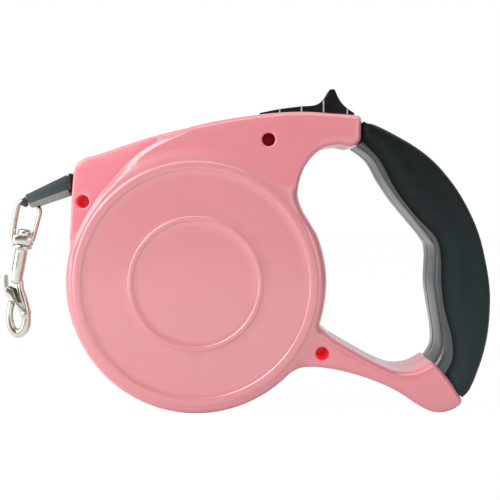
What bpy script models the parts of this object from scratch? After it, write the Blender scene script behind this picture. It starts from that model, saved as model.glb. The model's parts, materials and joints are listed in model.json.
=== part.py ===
"""Retractable leash: a two-part pink case with a tape reel, a D-handle, a thumb brake and a trigger snap.

Positions are in millimetres from the reel's axis, with +X towards the handle, -X towards the mouth of
the case and +Z up. They hang on one empty at the reel's axis, which sets them in the part's own frame:
its origin is the middle of the bounding box, at the height of the surface that the leash stands on.
"""

import math

import bmesh
import bpy
from mathutils import Matrix, Vector

MM = 0.001
GAP = 0.3                      # between pieces that touch on the real object
WELD_DISTANCE = 0.00003        # in metres

# The reel's axis in the part's own frame
REEL_X = -19.35
REEL_Z = 52.0

# Case
DRUM_R = 52.0
DRUM_HALF = 14.0
DRUM_ROUND = 3.2
DECK_HALF = 12.2
NOSE_HALF = 9.8
WALL = 2.2
DRUM_CAVITY_R = 49.4
DRUM_CAVITY_HALF = 11.6
PARTING = 0.1
TAIL_END_DEG = -43.8
NOSE_END_DEG = 172.0
DECK_END_DEG = 162.0
HOLE_TOP_DEG = 22.0
HOLE_BOTTOM_DEG = -19.2

# Screws: the recess is open on the left side
SCREW_SPOTS = {"front": (-45.2, 32.4), "top": (28.8, 56.9), "tail": (50.0, -27.7)}
RECESS_R = 2.6
RECESS_FLOOR = -4.0
BOSS_R = 4.4
POST_R = 3.6
SCREW_HEAD_R = 2.25
SCREW_SHANK_R = 1.3

# Handle
GRIP_HALF = 12.2
PALM_HALF = 11.6
CORE_HALF = 7.6

# Reel, with 5 m of 10 mm tape on it
TAPE_HALF = 5.0
TAPE_THICK = 0.8
TAPE_LENGTH = 5000.0
HUB_R = 22.0
PACK_R = math.sqrt(HUB_R ** 2 + TAPE_LENGTH * TAPE_THICK / math.pi)
CUP_IN_R = 19.5
CUP_OUT_R = 21.6
FLANGE_IN = 5.4
FLANGE_OUT = 7.0
FLANGE_R = 45.8
TOOTH_COUNT = 24
TOOTH_ROOT_R = 43.2
TOOTH_HALF_DEG = 2.6
AXLE_R = 3.0
AXLE_BORE_R = 3.3

# Brake
PAWL_PIVOT = (10.0, 54.0)
PAWL_PIN_R = 1.3
NOTCH_DEG = 58.5
BUTTON_HALF = 5.0
BUTTON_SLOT = (19.3, 64.9)

# Tape path: out of the reel's top, through the mouth, then down in the stop sleeve
RUN_START = (-1.0, 42.7)
MOUTH = (-50.0, 39.7)
COLLAR_FACE = -51.4
SLEEVE_START = (-51.7, 39.2)
SLEEVE_DROOP_DEG = 22.5
SLEEVE_HALF = 6.0
SLEEVE_ENDS = ((-0.7, 3.85, -4.2, 2.3), (17.6, 2.75, -2.85, 1.7))   # reach, top, bottom, lower corners' cut
SLEEVE_BORE = (5.4, 1.1)
SLEEVE_NOTCH = (14.4, 2.1, 1.7)
SLEEVE_TAPE_LENGTH = 12.8

# Snap: its own frame has u to the right across it and v down its long axis, from the ring's top bar
SNAP_TOP = (-68.66, 31.39)
SNAP_TILT_DEG = 10.0
RING_WIRE_R = 0.9
RING_LINE = [(-4.5, 15.0), (-4.75, 9.8), (-4.75, 6.0), (-4.7, 3.4), (-4.5, 1.2), (-3.9, -0.1), (-3.0, -0.67),
             (-1.0, -0.3), (1.0, 0.08), (3.0, 0.45), (4.2, 1.1), (4.7, 2.4), (4.65, 4.5), (4.3, 8.5),
             (4.0, 12.0), (3.7, 15.0)]
RING_FOOT = ((-4.3, 4.0), (-2.4, 2.4), (13.2, 16.9))
BAR_AT = (-1.85, -0.46)
BAR_TILT_DEG = 10.6            # how much further than the snap the ring's top bar is tilted
BARREL_V = (18.1, 33.1)
BARREL_R = 2.48
STUD_R = 1.1
GATE_PIVOT = (6.3, 44.6)
GATE_PIN_R = 0.6
GATE_PIN_BORE_R = 0.9
GATE_COIL_R = 1.25

COLOURS = {
    "pink_shell": ((0.82, 0.29, 0.33), 0.30, 0.0),
    "black_rubber": ((0.012, 0.015, 0.016), 0.45, 0.0),
    "grey_gloss": ((0.10, 0.105, 0.105), 0.25, 0.0),
    "black_plastic": ((0.02, 0.022, 0.023), 0.4, 0.0),
    "white_plastic": ((0.75, 0.75, 0.72), 0.45, 0.0),
    "black_tape": ((0.018, 0.018, 0.02), 0.8, 0.0),
    "slate_sleeve": ((0.055, 0.07, 0.08), 0.4, 0.0),
    "nickel": ((0.72, 0.71, 0.66), 0.18, 1.0),
    "steel": ((0.55, 0.55, 0.56), 0.3, 1.0),
    "spring_steel": ((0.30, 0.31, 0.34), 0.35, 1.0),
    "brass": ((0.70, 0.52, 0.22), 0.3, 1.0),
}


# ---------------------------------------------------------------- outlines, in the XZ plane

def arc(centre, radius, start_deg, end_deg, count):
    """Points on a circle, both ends included."""
    step = (end_deg - start_deg) / (count - 1)
    angles = [math.radians(start_deg + step * i) for i in range(count)]
    return [(centre[0] + radius * math.cos(a), centre[1] + radius * math.sin(a)) for a in angles]


def smooth(points, per_span=3):
    """A Catmull-Rom curve through the points."""
    ends = [points[0]] + list(points) + [points[-1]]
    made = []
    for a, b, c, d in zip(ends, ends[1:], ends[2:], ends[3:]):
        for i in range(per_span):
            t = i / per_span
            made.append(tuple(
                0.5 * (2 * q + (r - p) * t + (2 * p - 5 * q + 4 * r - s) * t ** 2
                       + (3 * q - p - 3 * r + s) * t ** 3)
                for p, q, r, s in zip(a, b, c, d)))
    return made + [points[-1]]


def offset(outline, distance):
    """A closed outline moved sideways: inwards for a clockwise one with a positive distance."""
    moved = []
    for before, here, after in zip([outline[-1]] + outline, outline, outline[1:] + outline[:1]):
        into = Vector((here[0] - before[0], here[1] - before[1])).normalized()
        out = Vector((after[0] - here[0], after[1] - here[1])).normalized()
        normal = Vector((into.y + out.y, -into.x - out.x)).normalized()
        stretch = max(0.5, normal.dot(Vector((into.y, -into.x))))
        moved.append((here[0] + normal.x * distance / stretch, here[1] + normal.y * distance / stretch))
    edges = list(zip(outline, outline[1:] + outline[:1]))
    return [p for p in moved if min(distance_to(p, *edge) for edge in edges) > 0.9 * abs(distance)]


def distance_to(point, start, end):
    """How far a point lies from a straight edge."""
    start, along = Vector(start), Vector(end) - Vector(start)
    t = max(0.0, min(1.0, (Vector(point) - start).dot(along) / max(along.length_squared, 1e-12)))
    return (Vector(point) - start - along * t).length


def strip(path, thickness):
    """The outline of a band along an open path."""
    sides = ([], [])
    for i, here in enumerate(path):
        before, after = path[max(i - 1, 0)], path[min(i + 1, len(path) - 1)]
        along = Vector((after[0] - before[0], after[1] - before[1])).normalized()
        for side, sign in zip(sides, (1, -1)):
            side.append((here[0] - sign * along.y * thickness / 2, here[1] + sign * along.x * thickness / 2))
    return sides[0] + sides[1][::-1]


TOP_EDGE = [(-51.2, 12.0), (-50.6, 19.0), (-50.1, 30.0), (-49.3, 42.0), (-48.2, 47.0), (-44.4, 49.8), (-39.3, 51.2),
            (-20.0, 57.6), (0.0, 62.8), (20.0, 66.4), (41.0, 68.2), (63.0, 66.8), (65.9, 65.9)]
ARM_END = [(65.6, 56.3), (62.0, 53.7)]
HOLE_EDGE = [(56.7, 54.9), (49.5, 53.0), (43.2, 46.0), (40.5, 36.2), (42.6, 28.5)]
TAIL_TOP = [(54.0, -21.6), (62.5, -26.6), (72.6, -31.7), (80.2, -34.2), (87.0, -33.0), (92.0, -29.2)]
TAIL_END = [(98.1, -33.9), (103.2, -40.4), (106.2, -47.0)]
TAIL_BOTTOM = [(102.4, -50.4), (97.5, -52.0), (93.0, -51.4), (88.0, -48.9), (79.1, -43.0), (68.3, -38.2),
               (57.0, -34.8), (47.1, -33.4), (41.5, -33.9)]
GRIP_BACK = [(66.6, 65.0), (73.5, 62.6), (86.7, 55.4), (95.9, 48.2), (103.9, 38.6), (109.5, 29.0),
             (113.5, 19.4), (115.9, 9.8), (117.5, 0.2), (117.9, -8.0), (117.1, -19.0), (115.1, -28.6),
             (111.5, -38.2), (108.8, -44.0), (106.9, -46.4)]
PALM_EDGE = [(95.2, -31.2), (98.0, -27.0), (98.2, -20.0), (96.1, -8.0), (94.9, 0.0), (94.8, 12.0),
             (92.6, 17.6), (81.2, 31.6), (75.0, 40.5), (70.1, 49.0), (63.5, 54.3)]
GROOVE = [(99.5, -33.6), (101.6, -27.2), (101.0, -20.0), (98.4, -10.0), (97.2, 0.0), (97.0, 10.3),
          (95.0, 18.2), (86.3, 27.6), (79.0, 37.4), (73.0, 48.6), (66.3, 55.8)]
CORE_TOP_TONGUE = [(59.0, 57.6), (59.0, 63.6), (67.0, 62.6)]
CORE_BACK = [(73.0, 57.8), (83.5, 51.0), (92.0, 43.9), (99.3, 35.0), (104.5, 26.3), (108.2, 17.4),
             (110.6, 8.3), (112.1, -1.0), (112.4, -9.0), (111.6, -18.5), (109.6, -27.0), (106.6, -34.4)]
CORE_TAIL_TONGUE = [(104.4, -39.0), (101.0, -46.0), (94.5, -46.0), (90.0, -38.5), (92.4, -34.4), (97.2, -35.4)]


def body_outline():
    """The whole case seen from its side, clockwise from the bottom of the nose."""
    drum_right = arc((0, 0), DRUM_R, HOLE_TOP_DEG, HOLE_BOTTOM_DEG, 8)
    drum_low = arc((0, 0), DRUM_R, TAIL_END_DEG, NOSE_END_DEG - 360, 33)
    return (smooth(TOP_EDGE) + ARM_END + smooth(HOLE_EDGE, 2) + drum_right + smooth(TAIL_TOP, 2)
            + TAIL_END + smooth(TAIL_BOTTOM, 2) + drum_low)


def deck_outline():
    """The raised part of the case: all of it but the nose, which lies lower than a flowing step."""
    step = smooth([(-48.9, 17.0), (-44.0, 27.0), (-35.0, 39.5), (-24.0, 51.0), (-14.0, 57.6), (-3.0, 61.9)], 3)
    top = [p for p in smooth(TOP_EDGE) if p[0] > 0]
    drum_right = arc((0, 0), DRUM_R, HOLE_TOP_DEG, HOLE_BOTTOM_DEG, 8)
    drum_low = arc((0, 0), DRUM_R, TAIL_END_DEG, DECK_END_DEG - 360, 34)
    return (step + top + ARM_END + smooth(HOLE_EDGE, 2) + drum_right + smooth(TAIL_TOP, 2)
            + TAIL_END + smooth(TAIL_BOTTOM, 2) + drum_low)


# ---------------------------------------------------------------- objects

def clear_scene():
    for old in list(bpy.data.objects):
        bpy.data.objects.remove(old)


def collection(name):
    made = bpy.data.collections.new(name)
    bpy.context.scene.collection.children.link(made)
    return made


def material(name):
    colour, roughness, metallic = COLOURS[name]
    made = bpy.data.materials.get(name)
    if made is None:
        made = bpy.data.materials.new(name)
        made.use_nodes = True
        shader = made.node_tree.nodes["Principled BSDF"]
        shader.inputs["Base Color"].default_value = (*colour, 1)
        shader.inputs["Roughness"].default_value = roughness
        shader.inputs["Metallic"].default_value = metallic
    return made


def empty(name, location, parent=None, turn_y_deg=0.0):
    """An empty that carries pieces: at the reel's axis, or on a joint's axis."""
    made = bpy.data.objects.new(name, None)
    made.parent = parent
    made.location = [MM * v for v in location]
    made.rotation_euler = (0, math.radians(turn_y_deg), 0)
    PARTS.objects.link(made)
    return made


def keep(obj, name, colour, frame):
    """Names a finished piece and puts it among the parts, on its carrier."""
    obj.name = name
    obj.parent = frame
    obj.data.materials.clear()
    obj.data.materials.append(material(colour))
    PARTS.objects.link(obj)
    obj.data.shade_smooth()
    obj.data.set_sharp_from_angle(angle=math.radians(35))
    return obj


def from_bmesh(bm, name):
    bmesh.ops.remove_doubles(bm, verts=bm.verts, dist=1e-6)
    bmesh.ops.recalc_face_normals(bm, faces=bm.faces)
    mesh = bpy.data.meshes.new(name)
    bm.to_mesh(mesh)
    bm.free()
    return bpy.data.objects.new(name, mesh)


def curve_to_mesh(curve, matrix):
    """A filled or bevelled curve as a closed mesh, with the matrix worked into it."""
    holder = bpy.data.objects.new(curve.name, curve)
    bpy.context.scene.collection.objects.link(holder)
    depsgraph = bpy.context.evaluated_depsgraph_get()
    mesh = bpy.data.meshes.new_from_object(holder.evaluated_get(depsgraph))
    bpy.data.objects.remove(holder)
    mesh.transform(matrix)
    bm = bmesh.new()
    bm.from_mesh(mesh)
    return from_bmesh(bm, curve.name)


# A curve's own plane is XY: this stands it up in XZ, with its +Z along +Y
STAND_UP = Matrix(((1, 0, 0), (0, 0, 1), (0, 1, 0))).to_4x4()


def plate(outlines, y_low, y_high, name="plate"):
    """A flat piece between two Y planes. The first outline is its edge, and any others are holes."""
    y_low, y_high = sorted((y_low, y_high))
    curve = bpy.data.curves.new(name, "CURVE")
    curve.dimensions = "2D"
    curve.fill_mode = "BOTH"
    curve.extrude = (y_high - y_low) / 2 * MM
    for outline in outlines:
        spline = curve.splines.new("POLY")
        spline.points.add(len(outline) - 1)
        spline.use_cyclic_u = True
        for point, (x, z) in zip(spline.points, outline):
            point.co = (x * MM, z * MM, 0, 1)
    middle = Matrix.Translation((0, (y_low + y_high) / 2 * MM, 0))
    return curve_to_mesh(curve, middle @ STAND_UP)


def box(x, y, z, name="box"):
    """A box from its low and high values on each axis."""
    bm = bmesh.new()
    size = Matrix.Diagonal([(b - a) * MM for a, b in (x, y, z)] + [1])
    middle = Matrix.Translation([(a + b) / 2 * MM for a, b in (x, y, z)])
    bmesh.ops.create_cube(bm, size=1, matrix=middle @ size)
    return from_bmesh(bm, name)


def rod(centre, radius, y_low, y_high, sides=20, name="rod"):
    """A cylinder along Y."""
    y_low, y_high = sorted((y_low, y_high))
    bm = bmesh.new()
    middle = Matrix.Translation((centre[0] * MM, (y_low + y_high) / 2 * MM, centre[1] * MM))
    bmesh.ops.create_cone(bm, cap_ends=True, segments=sides, radius1=radius * MM, radius2=radius * MM,
                          depth=(y_high - y_low) * MM, matrix=middle @ Matrix.Rotation(math.pi / 2, 4, "X"))
    return from_bmesh(bm, name)


def turned(profile, steps, along="Y", name="turned"):
    """A profile of (radius, height) points turned once round Y or Z."""
    area = sum(a[0] * b[1] - b[0] * a[1] for a, b in zip(profile, profile[1:] + profile[:1]))
    ordered = profile if area < 0 else profile[::-1]
    bm = bmesh.new()
    corners = [bm.verts.new((r * MM, 0, h * MM)) for r, h in ordered]
    for a, b in zip(corners, corners[1:] + corners[:1]):
        if a.co.x > 0 or b.co.x > 0:
            bm.edges.new((a, b))
    mesh = bpy.data.meshes.new(name)
    bm.to_mesh(mesh)
    bm.free()
    holder = bpy.data.objects.new(name, mesh)
    screw = holder.modifiers.new("turn", "SCREW")
    screw.steps = screw.render_steps = steps
    screw.use_merge_vertices = True
    screw.merge_threshold = 1e-6
    bpy.context.scene.collection.objects.link(holder)
    depsgraph = bpy.context.evaluated_depsgraph_get()
    made = bpy.data.meshes.new_from_object(holder.evaluated_get(depsgraph))
    bpy.data.objects.remove(holder)
    if along == "Y":
        made.transform(Matrix.Rotation(-math.pi / 2, 4, "X"))
    bm = bmesh.new()
    bm.from_mesh(made)
    return from_bmesh(bm, name)


def wire(points, radius, name="wire", resolution=2, cyclic=False, radii=None):
    """A round wire through (x, y, z) points."""
    curve = bpy.data.curves.new(name, "CURVE")
    curve.dimensions = "3D"
    curve.bevel_depth = radius * MM
    curve.bevel_resolution = resolution
    curve.use_fill_caps = not cyclic
    spline = curve.splines.new("POLY")
    spline.points.add(len(points) - 1)
    spline.use_cyclic_u = cyclic
    for i, (point, (x, y, z)) in enumerate(zip(spline.points, points)):
        point.co = (x * MM, y * MM, z * MM, 1)
        point.radius = radii[i] if radii else 1
    return curve_to_mesh(curve, Matrix())


def move(obj, x=0.0, y=0.0, z=0.0):
    obj.data.transform(Matrix.Translation((x * MM, y * MM, z * MM)))
    return obj


def turn(obj, axis, degrees):
    obj.data.transform(Matrix.Rotation(math.radians(degrees), 4, axis))
    return obj


def combine(target, tool, operation, frame):
    """Joins a tool to a piece or cuts it away, with a live Boolean."""
    tool.parent = frame
    tool.hide_render = True
    tool.display_type = "WIRE"
    CUTTERS.objects.link(tool)
    modifier = target.modifiers.new(tool.name, "BOOLEAN")
    modifier.operation = operation
    modifier.solver = "EXACT"
    modifier.object = tool


def cut(target, *tools, frame):
    for tool in tools:
        combine(target, tool, "DIFFERENCE", frame)


def join(target, *tools, frame):
    for tool in tools:
        combine(target, tool, "UNION", frame)


def weld(piece):
    """Closes the hairline slivers that Booleans leave between nearly straight edges."""
    modifier = piece.modifiers.new("weld", "WELD")
    modifier.merge_threshold = WELD_DISTANCE


# ---------------------------------------------------------------- case

def sided(low, high, side):
    """Y limits on the left (-1) or right (+1) side of the parting plane."""
    return sorted((side * low, side * high))


def drum_disc(side):
    """The round drum of one half, a hair inside the case's own round edge, with a soft rim."""
    edge_r = DRUM_R - 0.5
    rim = [(edge_r - DRUM_ROUND * (1 - math.cos(a)), DRUM_HALF - DRUM_ROUND * (1 - math.sin(a)))
           for a in (math.radians(d) for d in (0, 30, 60, 90))]
    profile = [(0.0, PARTING + 2), (edge_r, PARTING + 2)] + rim + [(0.0, DRUM_HALF)]
    disc = turned(profile, 64, name="drum")
    if side < 0:
        disc.data.transform(Matrix.Scale(-1, 4, (0, 1, 0)))
        disc.data.flip_normals()
    return disc


def shell(side):
    """One half of the case: nose plate, deck and drum outside, hollow inside, with its bosses."""
    name = "left_shell" if side < 0 else "right_shell"
    edge = body_outline()
    piece = keep(plate([edge], *sided(PARTING, NOSE_HALF, side)), name, "pink_shell", ORIGIN)
    deck = plate([offset(deck_outline(), GAP)], *sided(PARTING + 1, DECK_HALF, side))
    join(piece, deck, drum_disc(side), frame=ORIGIN)

    hollow = offset(edge, WALL)
    cut(piece, plate([hollow], *sided(-1, NOSE_HALF - WALL, side)),
        rod((0, 0), DRUM_CAVITY_R, *sided(-1, DRUM_CAVITY_HALF, side), sides=64), frame=ORIGIN)

    for spot in SCREW_SPOTS.values():
        if side < 0:
            join(piece, rod(spot, BOSS_R, -0.4, -NOSE_HALF + 0.5), frame=ORIGIN)
            cut(piece, rod(spot, RECESS_R, RECESS_FLOOR, -DECK_HALF - 2), frame=ORIGIN)
            cut(piece, rod(spot, SCREW_SHANK_R + GAP, RECESS_FLOOR - 1, 1, sides=12), frame=ORIGIN)
        else:
            join(piece, rod(spot, POST_R, PARTING + 0.05, NOSE_HALF - 0.5), frame=ORIGIN)
            cut(piece, rod(spot, SCREW_SHANK_R + GAP, -1, 7, sides=12), frame=ORIGIN)

    boss = rod((0, 0), 6.0, *sided(9.2, DRUM_HALF - 0.7, side))
    join(piece, boss, frame=ORIGIN)
    cut(piece, rod((0, 0), AXLE_BORE_R, *sided(9, DRUM_HALF - 1.4, side)), frame=ORIGIN)
    if side > 0:
        join(piece, rod(PAWL_PIVOT, 3.2, FLANGE_OUT + GAP, NOSE_HALF - 0.5), frame=ORIGIN)
        cut(piece, rod(PAWL_PIVOT, PAWL_PIN_R + GAP, FLANGE_OUT, NOSE_HALF - 1), frame=ORIGIN)

    mouth = box((-56, -44), (-6.6, 6.6), (35.7, 43.3))
    button_slot = box(BUTTON_SLOT, (-BUTTON_HALF - 0.5, BUTTON_HALF + 0.5), (62, 72))
    cut(piece, mouth, button_slot, core_room(), frame=ORIGIN)
    weld(piece)
    return piece


def core_room():
    """The handle core's outline with its clearance, cut out of the arm's end and the tail's end."""
    return plate([offset(core_outline(), -GAP)], -CORE_HALF - GAP, CORE_HALF + GAP)


def case_screw(where):
    x, z = SCREW_SPOTS[where]
    head_top = RECESS_FLOOR - 1.9
    profile = [(0.0, head_top), (SCREW_HEAD_R, head_top + 0.5), (SCREW_HEAD_R, RECESS_FLOOR - 0.2),
               (SCREW_SHANK_R, RECESS_FLOOR - 0.2), (SCREW_SHANK_R, 5.6), (0.0, 6.6)]
    screw = move(turned(profile, 16), x, 0, z)
    piece = keep(screw, "case_screw_" + where, "steel", ORIGIN)
    for angle in (0, 90):
        blade = turn(box((-1.5, 1.5), (head_top - 0.3, head_top + 0.7), (-0.3, 0.3)), "Y", angle)
        cut(piece, move(blade, x, 0, z), frame=ORIGIN)
    return piece


# ---------------------------------------------------------------- handle

def palm_outline():
    return smooth(PALM_EDGE, 2) + smooth(GROOVE, 2)[::-1]


def core_outline():
    """The handle's stiff core, clockwise: tongue in the arm, back, tongue in the tail, palm side."""
    palm_side = offset_line(smooth(PALM_EDGE[1:-1], 2), 1.0)
    return CORE_TOP_TONGUE + CORE_BACK + CORE_TAIL_TONGUE + palm_side


def offset_line(path, distance):
    """An open path moved sideways, to the right of its direction."""
    moved = []
    for i, here in enumerate(path):
        before, after = path[max(i - 1, 0)], path[min(i + 1, len(path) - 1)]
        along = Vector((after[0] - before[0], after[1] - before[1])).normalized()
        moved.append((here[0] + along.y * distance, here[1] - along.x * distance))
    return moved


def handle_core(side):
    """One half of the stiff glossy core, with the half of the palm strip that it carries."""
    name = "handle_core_left" if side < 0 else "handle_core_right"
    piece = keep(plate([palm_outline()], *sided(PARTING, PALM_HALF, side)), name, "grey_gloss", ORIGIN)
    join(piece, plate([core_outline()], *sided(PARTING + 0.05, CORE_HALF, side)), frame=ORIGIN)
    return piece


def grip_pad():
    """The soft black pad that wraps the back of the handle, with room for the core."""
    edge = smooth(GRIP_BACK, 2) + [(103.8, -40.4)] + smooth(offset_line(GROOVE, GAP), 2)
    piece = keep(plate([edge], -GRIP_HALF, GRIP_HALF), "grip_pad", "black_rubber", ORIGIN)
    cut(piece, core_room(), frame=ORIGIN)
    return piece


# ---------------------------------------------------------------- reel

def ratchet_outline():
    """The right flange's edge: square teeth, with a gap between teeth at NOTCH_DEG."""
    pitch = 360 / TOOTH_COUNT
    points = []
    for i in range(TOOTH_COUNT):
        middle = NOTCH_DEG + pitch * (i + 0.5)
        for radius, angle in ((TOOTH_ROOT_R, middle - TOOTH_HALF_DEG), (FLANGE_R, middle - TOOTH_HALF_DEG),
                              (FLANGE_R, middle + TOOTH_HALF_DEG), (TOOTH_ROOT_R, middle + TOOTH_HALF_DEG)):
            points.append((radius * math.cos(math.radians(angle)), radius * math.sin(math.radians(angle))))
    return points


def reel(frame):
    """The reel: spring cup and toothed right flange, left flange ring, spring cover, spring and tape."""
    bore = arc((0, 0), AXLE_BORE_R, 0, 345, 24)
    drum = keep(plate([ratchet_outline(), bore], FLANGE_IN, FLANGE_OUT), "reel_drum", "white_plastic", frame)
    cup = turned([(CUP_IN_R, FLANGE_IN + 0.5), (CUP_OUT_R, FLANGE_IN + 0.5), (CUP_OUT_R, -TAPE_HALF),
                  (CUP_IN_R, -TAPE_HALF)], 40)
    hub = turned([(AXLE_BORE_R + 0.2, FLANGE_OUT - 0.5), (6.0, FLANGE_OUT - 0.5), (6.0, 8.2),
                  (AXLE_BORE_R + 0.2, 8.2)], 24)
    join(drum, cup, hub, frame=frame)

    ring = turned([(CUP_IN_R, -FLANGE_OUT), (FLANGE_R, -FLANGE_OUT), (FLANGE_R, -FLANGE_IN),
                   (CUP_IN_R, -FLANGE_IN)], 48)
    keep(ring, "reel_flange", "white_plastic", frame)
    cover = turned([(AXLE_BORE_R, -8.2), (6.0, -8.2), (6.0, -FLANGE_OUT + 0.2), (CUP_IN_R - GAP, -FLANGE_OUT + 0.2),
                    (CUP_IN_R - GAP, -FLANGE_IN - 0.4), (AXLE_BORE_R, -FLANGE_IN - 0.4)], 32)
    keep(cover, "spring_cover", "steel", frame)

    turns, steps = 6, 24
    inner, outer = 5.2, CUP_IN_R - 0.9
    spiral = []
    for i in range(turns * steps + 1):
        radius = inner + (outer - inner) * i / (turns * steps)
        angle = math.tau * i / steps
        spiral.append((radius * math.cos(angle), radius * math.sin(angle)))
    keep(plate([strip(spiral, 0.5)], -4.6, 4.6), "mainspring", "spring_steel", frame)

    pack = turned([(HUB_R, -TAPE_HALF), (PACK_R, -TAPE_HALF), (PACK_R, TAPE_HALF), (HUB_R, TAPE_HALF)], 56)
    keep(pack, "leash_pack", "black_tape", frame)


def axle_parts():
    """The fixed axle, slotted for the spring's inner end, and a washer at each side of the reel."""
    end = DRUM_HALF - 1.8
    profile = [(0.0, -end), (AXLE_R - 0.4, -end), (AXLE_R, -end + 0.4), (AXLE_R, end - 0.4),
               (AXLE_R - 0.4, end), (0.0, end)]
    axle = keep(turned(profile, 20), "reel_axle", "steel", ORIGIN)
    cut(axle, box((0, AXLE_R + 1), (-5, 5), (-0.4, 0.4)), frame=ORIGIN)
    for side, name in ((-1, "reel_washer_left"), (1, "reel_washer_right")):
        low, high = sided(8.45, 8.95, side)
        washer = turned([(AXLE_BORE_R, low), (5.6, low), (5.6, high), (AXLE_BORE_R, high)], 20)
        keep(washer, name, "brass", ORIGIN)


# ---------------------------------------------------------------- brake

def brake(button_frame, pawl_frame):
    """The thumb slider with its fin and its ramp, and the pawl that the ramp presses into the reel."""
    cap = [(25.2, 64.9), (25.2, 68.5), (33.0, 69.7), (41.5, 70.8), (48.0, 71.3), (50.6, 73.2), (52.6, 75.4),
           (53.7, 77.6), (55.9, 77.7), (57.0, 75.0), (59.2, 71.6), (61.6, 69.4), (63.8, 68.2), (63.8, 64.9)]
    lug = [(38.0, 65.4), (44.0, 65.4), (44.0, 51.7), (38.0, 56.4)]
    bx, bz = button_frame["at"]
    button = keep(move(plate([cap], -BUTTON_HALF, BUTTON_HALF), -bx, 0, -bz), "brake_button",
                  "black_plastic", button_frame["empty"])
    join(button, move(plate([lug], 1.6, FLANGE_OUT), -bx, 0, -bz), frame=button_frame["empty"])
    leaf = strip(smooth([(46.5, 63.6), (49.5, 64.2), (52.5, 62.4), (55.5, 63.8), (57.5, 64.3)], 3), 0.4)
    keep(move(plate([leaf], -2.5, 2.5), -bx, 0, -bz), "detent_spring", "spring_steel", button_frame["empty"])

    pivot = PAWL_PIVOT
    arm = [(38.0, 56.0), (39.6, 54.6), (33.0, 50.4), (24.0, 49.6), (17.5, 50.2), (26.3, 42.0), (25.6, 40.2),
           (23.8, 40.2), (22.6, 42.9), (9.4, 51.6), (7.0, 53.2), (7.0, 55.4), (8.6, 57.0), (11.4, 57.0),
           (13.2, 55.0), (15.0, 52.4), (32.6, 52.4), (36.6, 56.0)]
    hole = arc(pivot, PAWL_PIN_R + GAP, 0, 330, 12)
    pawl = move(plate([arm[::-1], hole], FLANGE_IN, FLANGE_OUT), -pivot[0], 0, -pivot[1])
    keep(pawl, "brake_pawl", "steel", pawl_frame)

    pin = turned([(0.0, 2.0), (2.1, 2.0), (2.1, 2.5), (PAWL_PIN_R, 2.5), (PAWL_PIN_R, 8.5), (0.0, 8.5)], 16)
    keep(move(pin, pivot[0], 0, pivot[1]), "pawl_pin", "steel", ORIGIN)
    turns, steps, coil_r = 3, 12, PAWL_PIN_R + 0.65
    coil = [(coil_r * math.cos(math.tau * i / steps), 3.0 + 1.8 * i / (turns * steps),
             coil_r * math.sin(math.tau * i / steps)) for i in range(turns * steps + 1)]
    spring = wire(coil, 0.22, "spring", resolution=1)
    keep(move(spring, pivot[0], 0, pivot[1]), "pawl_spring", "spring_steel", ORIGIN)


# ---------------------------------------------------------------- mouth, tape and sleeve

def mouth_guide():
    """The dark collar in the nose's mouth that the tape slides through."""
    flange = box((COLLAR_FACE, -50.2), (-7.2, 7.2), (35.4, 43.6))
    piece = keep(flange, "mouth_guide", "black_plastic", ORIGIN)
    join(piece, box((COLLAR_FACE + 0.4, -45.2), (-6.3, 6.3), (36.0, 43.0)), frame=ORIGIN)
    cut(piece, box((-54, -44), (-5.5, 5.5), (38.3, 41.2)), frame=ORIGIN)
    return piece


def tape_run(frame, origin):
    """The free stretch of tape: off the reel, through the mouth and down into the stop sleeve."""
    droop = math.radians(SLEEVE_DROOP_DEG)
    in_sleeve = [(SLEEVE_START[0] - t * math.cos(droop), SLEEVE_START[1] - t * math.sin(droop))
                 for t in (1.0, SLEEVE_TAPE_LENGTH)]
    path = [RUN_START, MOUTH, (-51.2, 39.42)] + in_sleeve
    run = plate([strip(path, TAPE_THICK)], -TAPE_HALF, TAPE_HALF)
    keep(move(run, -origin[0], 0, -origin[1]), "tape_run", "black_tape", frame)


def tapered(low_ring, high_ring, name="tapered"):
    """A solid between two rings of (x, y, z) points."""
    bm = bmesh.new()
    rings = [[bm.verts.new([v * MM for v in point]) for point in ring] for ring in (low_ring, high_ring)]
    for ring in rings:
        bm.faces.new(ring)
    for i in range(len(low_ring)):
        bm.faces.new((rings[0][i - 1], rings[0][i], rings[1][i], rings[1][i - 1]))
    return from_bmesh(bm, name)


def sleeve_section(reach, top, bottom, chamfer):
    """The sleeve's section: a flat tube whose two lower corners are cut away."""
    flat = SLEEVE_HALF - 1.3 * chamfer
    outline = [(-SLEEVE_HALF, top), (SLEEVE_HALF, top), (SLEEVE_HALF, bottom + chamfer), (flat, bottom),
               (-flat, bottom), (-SLEEVE_HALF, bottom + chamfer)]
    return [(-reach, y, z) for y, z in outline]


def stop_sleeve(frame):
    """The tapered sleeve, cut square to the mouth, with a notch at its far end for the ring's top bar."""
    tube = tapered(*[sleeve_section(*end) for end in SLEEVE_ENDS])
    piece = keep(tube, "stop_sleeve", "slate_sleeve", frame)
    half, height = SLEEVE_BORE
    start, notch_half, notch_top = SLEEVE_NOTCH
    cut(piece, box((-20, 2), (-half, half), (-height, height)),
        box((-20, -start), (-notch_half, notch_half), (-6, notch_top)), frame=frame)
    cut(piece, box((COLLAR_FACE - GAP, -44), (-8, 8), (30, 48)), frame=ORIGIN)


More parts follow.
